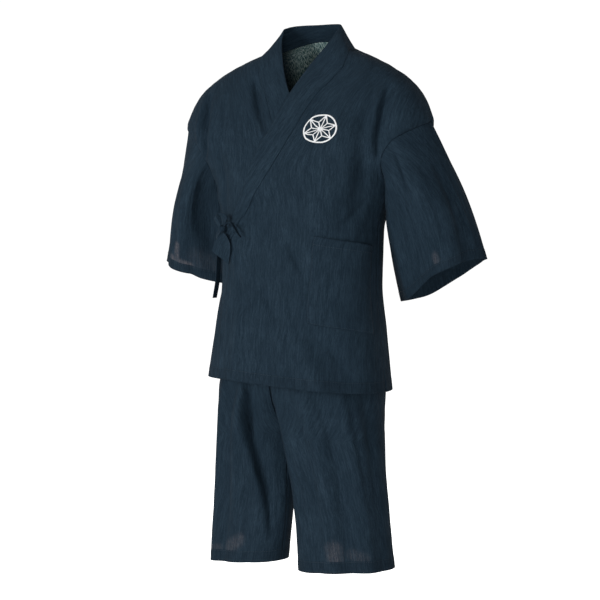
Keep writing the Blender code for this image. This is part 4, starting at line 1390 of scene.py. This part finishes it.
def add_stitches(name, lines, material, node_out):
    """Short threads along lines of points on the cloth.

    Each stitch is a six-sided spindle, full over the middle half of its length.
    """
    starts, ways, outs = [], [], []
    for points, normals in lines:
        steps = np.linalg.norm(np.diff(points, axis=0), axis=-1)
        length = np.append(0, np.cumsum(steps))
        at = np.arange(STITCH_PITCH, length[-1] - STITCH_PITCH, STITCH_PITCH)
        place = np.stack([np.interp(at, length, points[:, i]) for i in range(3)], -1)
        ahead = np.stack([np.interp(at + 1, length, points[:, i]) for i in range(3)], -1)
        normal = unit(np.stack([np.interp(at, length, normals[:, i]) for i in range(3)], -1))
        starts.append(place + normal * node_out)
        ways.append(unit(ahead - place))
        outs.append(normal)
    centre, way, out = (np.concatenate(group) for group in (starts, ways, outs))
    beside = unit(np.cross(way, out))
    share = np.array([0.0, 0.25, 0.75, 1.0])
    size = np.array([0.25, 1.0, 1.0, 0.25]) * STITCH_WIDTH / 2
    angle = np.arange(6) * np.pi / 3
    ring = beside[:, None] * np.cos(angle)[:, None] + out[:, None] * np.sin(angle)[:, None]
    points = (
        centre[:, None, None]
        + way[:, None, None] * ((share - 0.5) * STITCH_LENGTH)[:, None, None]
        + ring[:, None] * size[:, None, None]
    )
    count, sides = len(centre), len(angle)
    local = []
    for level in range(len(share) - 1):
        for side in range(sides):
            after = (side + 1) % sides
            a, b = level * sides, (level + 1) * sides
            local.append((a + side, a + after, b + after, b + side))
    each = len(share) * sides
    quads = np.array(local)[None] + np.arange(count)[:, None, None] * each
    faces = quads.reshape(-1, 4).tolist()
    caps = np.arange(sides)
    first = (caps[::-1][None] + np.arange(count)[:, None] * each).tolist()
    last = ((caps + (len(share) - 1) * sides)[None] + np.arange(count)[:, None] * each).tolist()
    mesh = bpy.data.meshes.new(name)
    mesh.from_pydata((points.reshape(-1, 3) * METRE).tolist(), [], faces + first + last)
    mesh.shade_smooth()
    mesh.materials.append(material)
    thing = add_object(name, mesh)
    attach(thing, "root")


def thread_material():
    """Cotton sewing thread: plied twist across each stitch, a little glossier than the cloth."""
    material, nodes, shader = new_material("navy_thread")
    place = nodes.add("ShaderNodeTexCoord").outputs["Object"]
    twist = nodes.noise(place, 2600, 2600, 1.0)
    nodes.put(shader["Base Color"], nodes.mix(nodes.ramp(twist, 0.35, 0.65), THREAD_LOW, THREAD_HIGH))
    nodes.put(shader["Roughness"], nodes.plus(0.5, nodes.times(twist, 0.25)))
    nodes.put(shader["Normal"], nodes.bump(0.5, 0.0002, twist))
    return material


def sheer_mask(patches, across, up):
    """How sheer the cloth is: the most of the patches, each fading away from its own line.

    The distance from a line is counted in half widths, so a patch is a rounded bar.
    """
    total = np.zeros(np.broadcast(across, up).shape)
    for across0, up0, across1, up1, half_across, half_up, amount in patches:
        along_a, along_u = (across1 - across0) / half_across, (up1 - up0) / half_up
        here_a, here_u = (across - across0) / half_across, (up - up0) / half_up
        part = np.clip((here_a * along_a + here_u * along_u) / (along_a**2 + along_u**2), 0, 1)
        far = np.hypot(here_a - part * along_a, here_u - part * along_u)
        total = np.maximum(total, amount * (1 - smooth_step(0.3, 1.3, far)))
    return total


def across_cloth(grid, edge_arc, height, back, side):
    """Distance across the cloth from the garment's middle: to the first column, and then on."""
    share = np.linspace(0, 1, 24)
    start = body_ring(edge_arc[:, None] * share, height[:, None], back)
    first = np.linalg.norm(np.diff(start, axis=1), axis=-1).sum(1) * np.sign(edge_arc)
    return first[:, None] + side * lengths_across(grid)


def lean_with_collar(across, x, height, edge_table):
    """The warp's lines beside the collar run along it, where the tie pulls the front."""
    off = x - through(edge_table, 1, height)
    pull = (1 - smooth_step(25, 150, np.abs(off))) * (1 - smooth_step(170, 330, -height))
    return across * (1 - pull) + off * pull


def hem_line(grid, up, height, outward, closed=False):
    """Points and normals of the cloth along one height above its hem."""
    normal = grid_normals(grid, closed) * outward
    rows = np.arange(len(grid))[::-1]
    place = np.array([np.interp(height, column[::-1], rows) for column in up.T])
    low = np.clip(place.astype(int), 0, len(grid) - 2)
    part = (place - low)[:, None]
    here = np.arange(grid.shape[1])
    points = grid[low, here] * (1 - part) + grid[low + 1, here] * part
    if closed:
        points = np.concatenate([points, points[:1]])
        return points, np.concatenate([normal[low, here], normal[low[:1], here[:1]]])
    return points, normal[low, here]


def column_line(grid, column, outward, first=0, last=None):
    """Points and normals of the cloth down one column."""
    normal = grid_normals(grid) * outward
    return grid[first:last, column], normal[first:last, column]


def from_sides(grid):
    """Distance of each point from the nearer end of its row."""
    ring = lengths_across(grid)
    return np.minimum(ring, ring[:, -1:] - ring)


def make_back():
    grid, arc, height = back_panel()
    across = across_cloth(grid, arc[:, 0], height[:, 0], True, 1)
    up = lengths_up(grid)
    seams = np.minimum(from_sides(grid), up[0] - up)
    made = add_relief(grid, -1, across, up, seed=11, seams=seams, hem=JACKET_HEM)
    x = np.abs(grid[..., 0])
    # Painted light on the back's inside: full near the neck, fading down and to the sides.
    lit = 1 - smooth_step(*INSIDE_FADES_DOWN, -height)
    lit = lit * (1 - smooth_step(*INSIDE_FADES_ASIDE, x))
    thing = add_grid("jacket_back_cloth", made, across, up, [BACK_CLOTH, BACK_INSIDE],
                     "jacket_back", wall=CLOTH, values={"inside": lit})
    return [hem_line(made, up, JACKET_HEM - STITCH_FROM_FOLD, -1)]


def make_front(left):
    grid, arc, height = front_panel(left)
    side = 1 if left else -1
    table = OVER_EDGE if left else UNDER_EDGE
    plain = across_cloth(grid, arc[:, 0], height[:, 0], False, side)
    across = lean_with_collar(plain, grid[..., 0], height, table)
    up = lengths_up(grid)
    seams = np.minimum(from_sides(grid), up[0] - up)
    seed = 23 if left else 37
    made = add_relief(grid, side, plain, up, seed, seams, JACKET_HEM)
    name = "jacket_front_left" if left else "jacket_front_right"
    if left:
        near = np.hypot(grid[..., 0] - MARK_X, height - MARK_Z)
        at = np.unravel_index(np.argmin(near), near.shape)
        mark = (plain[at] * METRE, up[at] * METRE, MARK_RADIUS * METRE,
                MARK_LINE / 2 / MARK_RADIUS, np.radians(MARK_SLANT_DEGREES))
        outer = cloth_material("front_left_cloth", hem=JACKET_HEM * METRE, mark=mark)
    else:
        outer = cloth_material("front_right_cloth", hem=JACKET_HEM * METRE)
    thing = add_grid(name + "_cloth", made, across, up, [outer, PLAIN_CLOTH], name,
                     flip=left, wall=CLOTH, plain=plain)
    lines = [hem_line(made, up, JACKET_HEM - STITCH_FROM_FOLD, side)]
    free_from = np.argmax(height[:, 0] < FREE_EDGE_FROM_Z)
    facing = np.argmin(np.abs(lengths_across(grid)[-1] - JACKET_HEM + STITCH_FROM_FOLD))
    lines.append(column_line(made, facing, side, free_from, -ROWS_UNDER_STITCH))
    return lines


def make_collar():
    grid = collar()
    wide = lengths_across(grid)
    along = lengths_up(grid)
    made = add_relief(grid, 1, wide, along, seed=41, seams=wide, hem=NO_HEM, strength=0.8)
    free = wide[:, -1:] - wide
    normal = grid_normals(made)
    made = made - normal * (COLLAR_EDGE_DIP * np.exp(-((free / COLLAR_EDGE_WIDTH) ** 2)))[..., None]
    thing = add_grid("collar_cloth", made, wide, along, [COLLAR_CLOTH], "collar", flip=True,
                     wall=COLLAR_THICKNESS)


def make_sleeve(left):
    if left:
        made, across, up = sleeve(SLEEVE_MIDDLE, SLEEVE_CUFF, LEFT_SLEEVE_CREASES, seed=53)
    else:
        rings = RIGHT_SLEEVE_MIDDLE, RIGHT_SLEEVE_CUFF
        made, across, up = sleeve(*rings, RIGHT_SLEEVE_CREASES, seed=67)
        made = mirrored(made)
    name = "sleeve_left" if left else "sleeve_right"
    around = across[0, -1] + np.linalg.norm(made[-1, 0] - made[-1, -1])
    across = np.concatenate([across, np.full((len(across), 1), around)], 1)
    tall = np.concatenate([up, up[:, :1]], 1)
    turn = np.arange(made.shape[1]) / made.shape[1] + 0 * up
    sheer = sheer_mask(LEFT_SLEEVE_SHEER if left else RIGHT_SLEEVE_SHEER, turn, up)
    thing = add_grid(name + "_cloth", made, across, tall, [SLEEVE_CLOTH, PLAIN_CLOTH], name,
                     flip=not left, closed=True, wall=CLOTH, side=-1,
                     values={"sheer": sheer})
    return [hem_line(made, up, CUFF_HEM - STITCH_FROM_FOLD, -1 if left else 1, True)]


def make_pocket():
    grid = pocket()
    across, up = lengths_across(grid), lengths_up(grid)
    seams = np.minimum(from_sides(grid), up)
    made = add_relief(grid, 1, across + POCKET_SHIFT, up, seed=71, seams=seams, hem=NO_HEM, strength=0.8)
    from_top = up[0] - up
    normal = grid_normals(made)
    step = POCKET_HEM_STEP * (1 - smooth_step(POCKET_HEM - 1, POCKET_HEM + 1, from_top))
    made = made + normal * step[..., None]
    thing = add_grid("pocket_cloth", made, across, from_top, [POCKET_CLOTH], "pocket",
                     flip=True, wall=CLOTH)
    lines = [column_line(made, 1, 1), column_line(made, -2, 1)]
    normal = grid_normals(made)
    lines.append((made[-2], normal[-2]))
    row = np.argmin(np.abs(from_top[:, 0] - POCKET_HEM + STITCH_FROM_FOLD))
    lines.append((made[row], normal[row]))
    return lines


def make_leg(left, back):
    creases = () if back else LEFT_LEG_CREASES if left else RIGHT_LEG_CREASES
    grid = leg_panel(back, creases, () if left or back else RIGHT_LEG_PLEATS)
    outward = -1 if back else 1
    up = lengths_up(grid)
    across = lengths_across(grid) + (BACK_LEG_SHIFT if back else 0)
    seed = 83 + 7 * left + 19 * back
    made = add_relief(grid, outward, across, up, seed, from_sides(grid), LEG_HEM)
    share = np.linspace(0, 1, grid.shape[1]) + 0 * up
    patches = BACK_LEG_SHEER if back else LEFT_LEG_SHEER if left else RIGHT_LEG_SHEER
    sheer = sheer_mask(patches, share, up)
    name = ("trouser_back_" if back else "trouser_front_") + ("left" if left else "right")
    if not left:
        made = mirrored(made)
    made = leaned(tilted(made, LEFT_HEM_TILT if left else RIGHT_HEM_TILT))
    thing = add_grid(name + "_cloth", made, across, up, [LEG_CLOTH, PLAIN_CLOTH], name,
                     flip=left != back, wall=CLOTH, values={"sheer": sheer})
    return [hem_line(made, up, LEG_HEM - STITCH_FROM_FOLD, outward if left else -outward)]


def make_waistband():
    grid = waistband()
    ring = np.concatenate([grid, grid[:, :1]], 1)
    across, up = lengths_across(ring), lengths_up(ring)
    thing = add_grid("waistband_cloth", grid, across, up, [PLAIN_CLOTH], "waistband",
                     flip=True, closed=True, wall=WAISTBAND_THICKNESS)


def make_tie():
    for name, table, rows, columns, seed, held in (
        ("tie_end", TIE_END, 60, 34, 3, "hung"),
        ("tie_tail", TIE_TAIL, 110, 16, 5, "hung"),
        ("tie_loop", TIE_LOOP, 60, 16, 7, "folded"),
        ("tie_arc", TIE_ARC, 60, 16, 9, "folded"),
    ):
        grid = strip(table, rows, columns, seed)
        thing = add_grid(name + "_cloth", grid, lengths_across(grid), lengths_up(grid),
                         [TIE_CLOTH], name, wall=TIE_THICKNESS)
    grid = knot()
    ring = np.concatenate([grid, grid[:, :1]], 1)
    thing = add_grid("tie_knot_cloth", grid, lengths_across(ring), lengths_up(ring), [TIE_CLOTH],
                     "tie_knot", closed=True)
    trim = thing.modifiers.new("poles", "WELD")
    trim.merge_threshold = 0.00001


BACK_CLOTH = cloth_material("back_cloth", hem=JACKET_HEM * METRE)
BACK_INSIDE = cloth_material("back_inside", relief=0.0005, masks=("inside",))
PLAIN_CLOTH = cloth_material("cloth_inside")
COLLAR_CLOTH = cloth_material("collar_cloth", relief=0.00026)
SLEEVE_CLOTH = cloth_material("sleeve_cloth", hem=CUFF_HEM * METRE, masks=("sheer",))
POCKET_CLOTH = cloth_material("pocket_cloth")
LEG_CLOTH = cloth_material("leg_cloth", hem=LEG_HEM * METRE, masks=("sheer",))
TIE_CLOTH = cloth_material("tie_cloth", relief=0.00024)

stitched = make_back() + make_front(True) + make_front(False)
make_collar()
stitched += make_sleeve(True) + make_sleeve(False) + make_pocket()
for left in (True, False):
    stitched += make_leg(left, False) + make_leg(left, True)
make_waistband()
make_tie()
add_stitches("hem_stitching", stitched, thread_material(), CLOTH + STITCH_OUT)


# The camera, the pale floor and the studio light.

CAMERA_SENSOR = 36
CAMERA_AZIMUTH_DEGREES = 28
CAMERA_DISTANCE = 3800
CAMERA_EYE_Z = -300
CAMERA_AIM_Z = -521
PHOTO_MM_PER_PIXEL = 2.1
PHOTO_PIXELS = 600
SKY_STRENGTH = 0.30
SKY_SEEN_STRENGTH = 1.05
LIGHTS = (
    # name, place, aimed_at, size, watts
    ("key", (-1.6, -3.9, 0.15), (0, 0, -0.65), 1.4, 84),
    ("fill", (1.7, -3.6, -0.9), (0, 0, -0.95), 1.2, 32),
    ("top", (0.0, -0.4, 2.6), (0, 0, -0.5), 1.6, 6),
    ("back", (-2.4, 3.3, 0.5), (0, 0, -0.5), 1.6, 62),
)


def add_camera():
    camera = bpy.data.cameras.new("camera")
    camera.sensor_width = CAMERA_SENSOR
    camera.lens = CAMERA_SENSOR * CAMERA_DISTANCE / (PHOTO_MM_PER_PIXEL * PHOTO_PIXELS)
    camera.clip_end = 100
    thing = add_object("camera", camera)
    turn = np.radians(CAMERA_AZIMUTH_DEGREES)
    eye = np.array([np.sin(turn) * CAMERA_DISTANCE, -np.cos(turn) * CAMERA_DISTANCE, CAMERA_EYE_Z])
    aim = np.array([0, 0, CAMERA_AIM_Z])
    thing.location = eye * METRE
    tilt = np.arctan2(aim[2] - eye[2], CAMERA_DISTANCE)
    thing.rotation_euler = (np.pi / 2 + tilt, 0, turn)
    bpy.context.scene.camera = thing


def add_floor():
    mesh = bpy.data.meshes.new("floor")
    size, level = 14, -1.5
    mesh.from_pydata([(-size, -size, level), (size, -size, level), (size, size, level),
                      (-size, size, level)], [], [(0, 1, 2, 3)])
    material, nodes, shader = new_material("pale_floor")
    nodes.put(shader["Base Color"], (0.85, 0.85, 0.85, 1))
    nodes.put(shader["Roughness"], 0.9)
    nodes.put(shader["Emission Color"], (1, 1, 1, 1))
    seen = nodes.add("ShaderNodeLightPath").outputs["Is Camera Ray"]
    nodes.put(shader["Emission Strength"], seen)
    mesh.materials.append(material)
    floor = add_object("floor", mesh)


def add_light(name, place, aim, size, watts):
    light = bpy.data.lights.new(name, "AREA")
    light.shape = "DISK"
    light.size = size
    light.energy = watts
    thing = add_object(name, light)
    thing.location = place
    back = np.array(place, float) - np.array(aim, float)
    tilt = np.arctan2(np.hypot(back[0], back[1]), back[2])
    thing.rotation_euler = (tilt, 0, np.arctan2(back[0], -back[1]))


def add_sky():
    world = bpy.data.worlds.new("studio")
    world.use_nodes = True
    nodes = Nodes(world.node_tree)
    back = world.node_tree.nodes["Background"]
    nodes.put(back.inputs["Color"], (1, 1, 1, 1))
    seen = nodes.add("ShaderNodeLightPath").outputs["Is Camera Ray"]
    level = nodes.plus(SKY_STRENGTH, nodes.times(seen, SKY_SEEN_STRENGTH - SKY_STRENGTH))
    nodes.put(back.inputs["Strength"], level)
    bpy.context.scene.world = world


bpy.context.scene.view_settings.view_transform = "Standard"
add_camera()
add_floor()
add_sky()
for light_row in LIGHTS:
    add_light(*light_row)
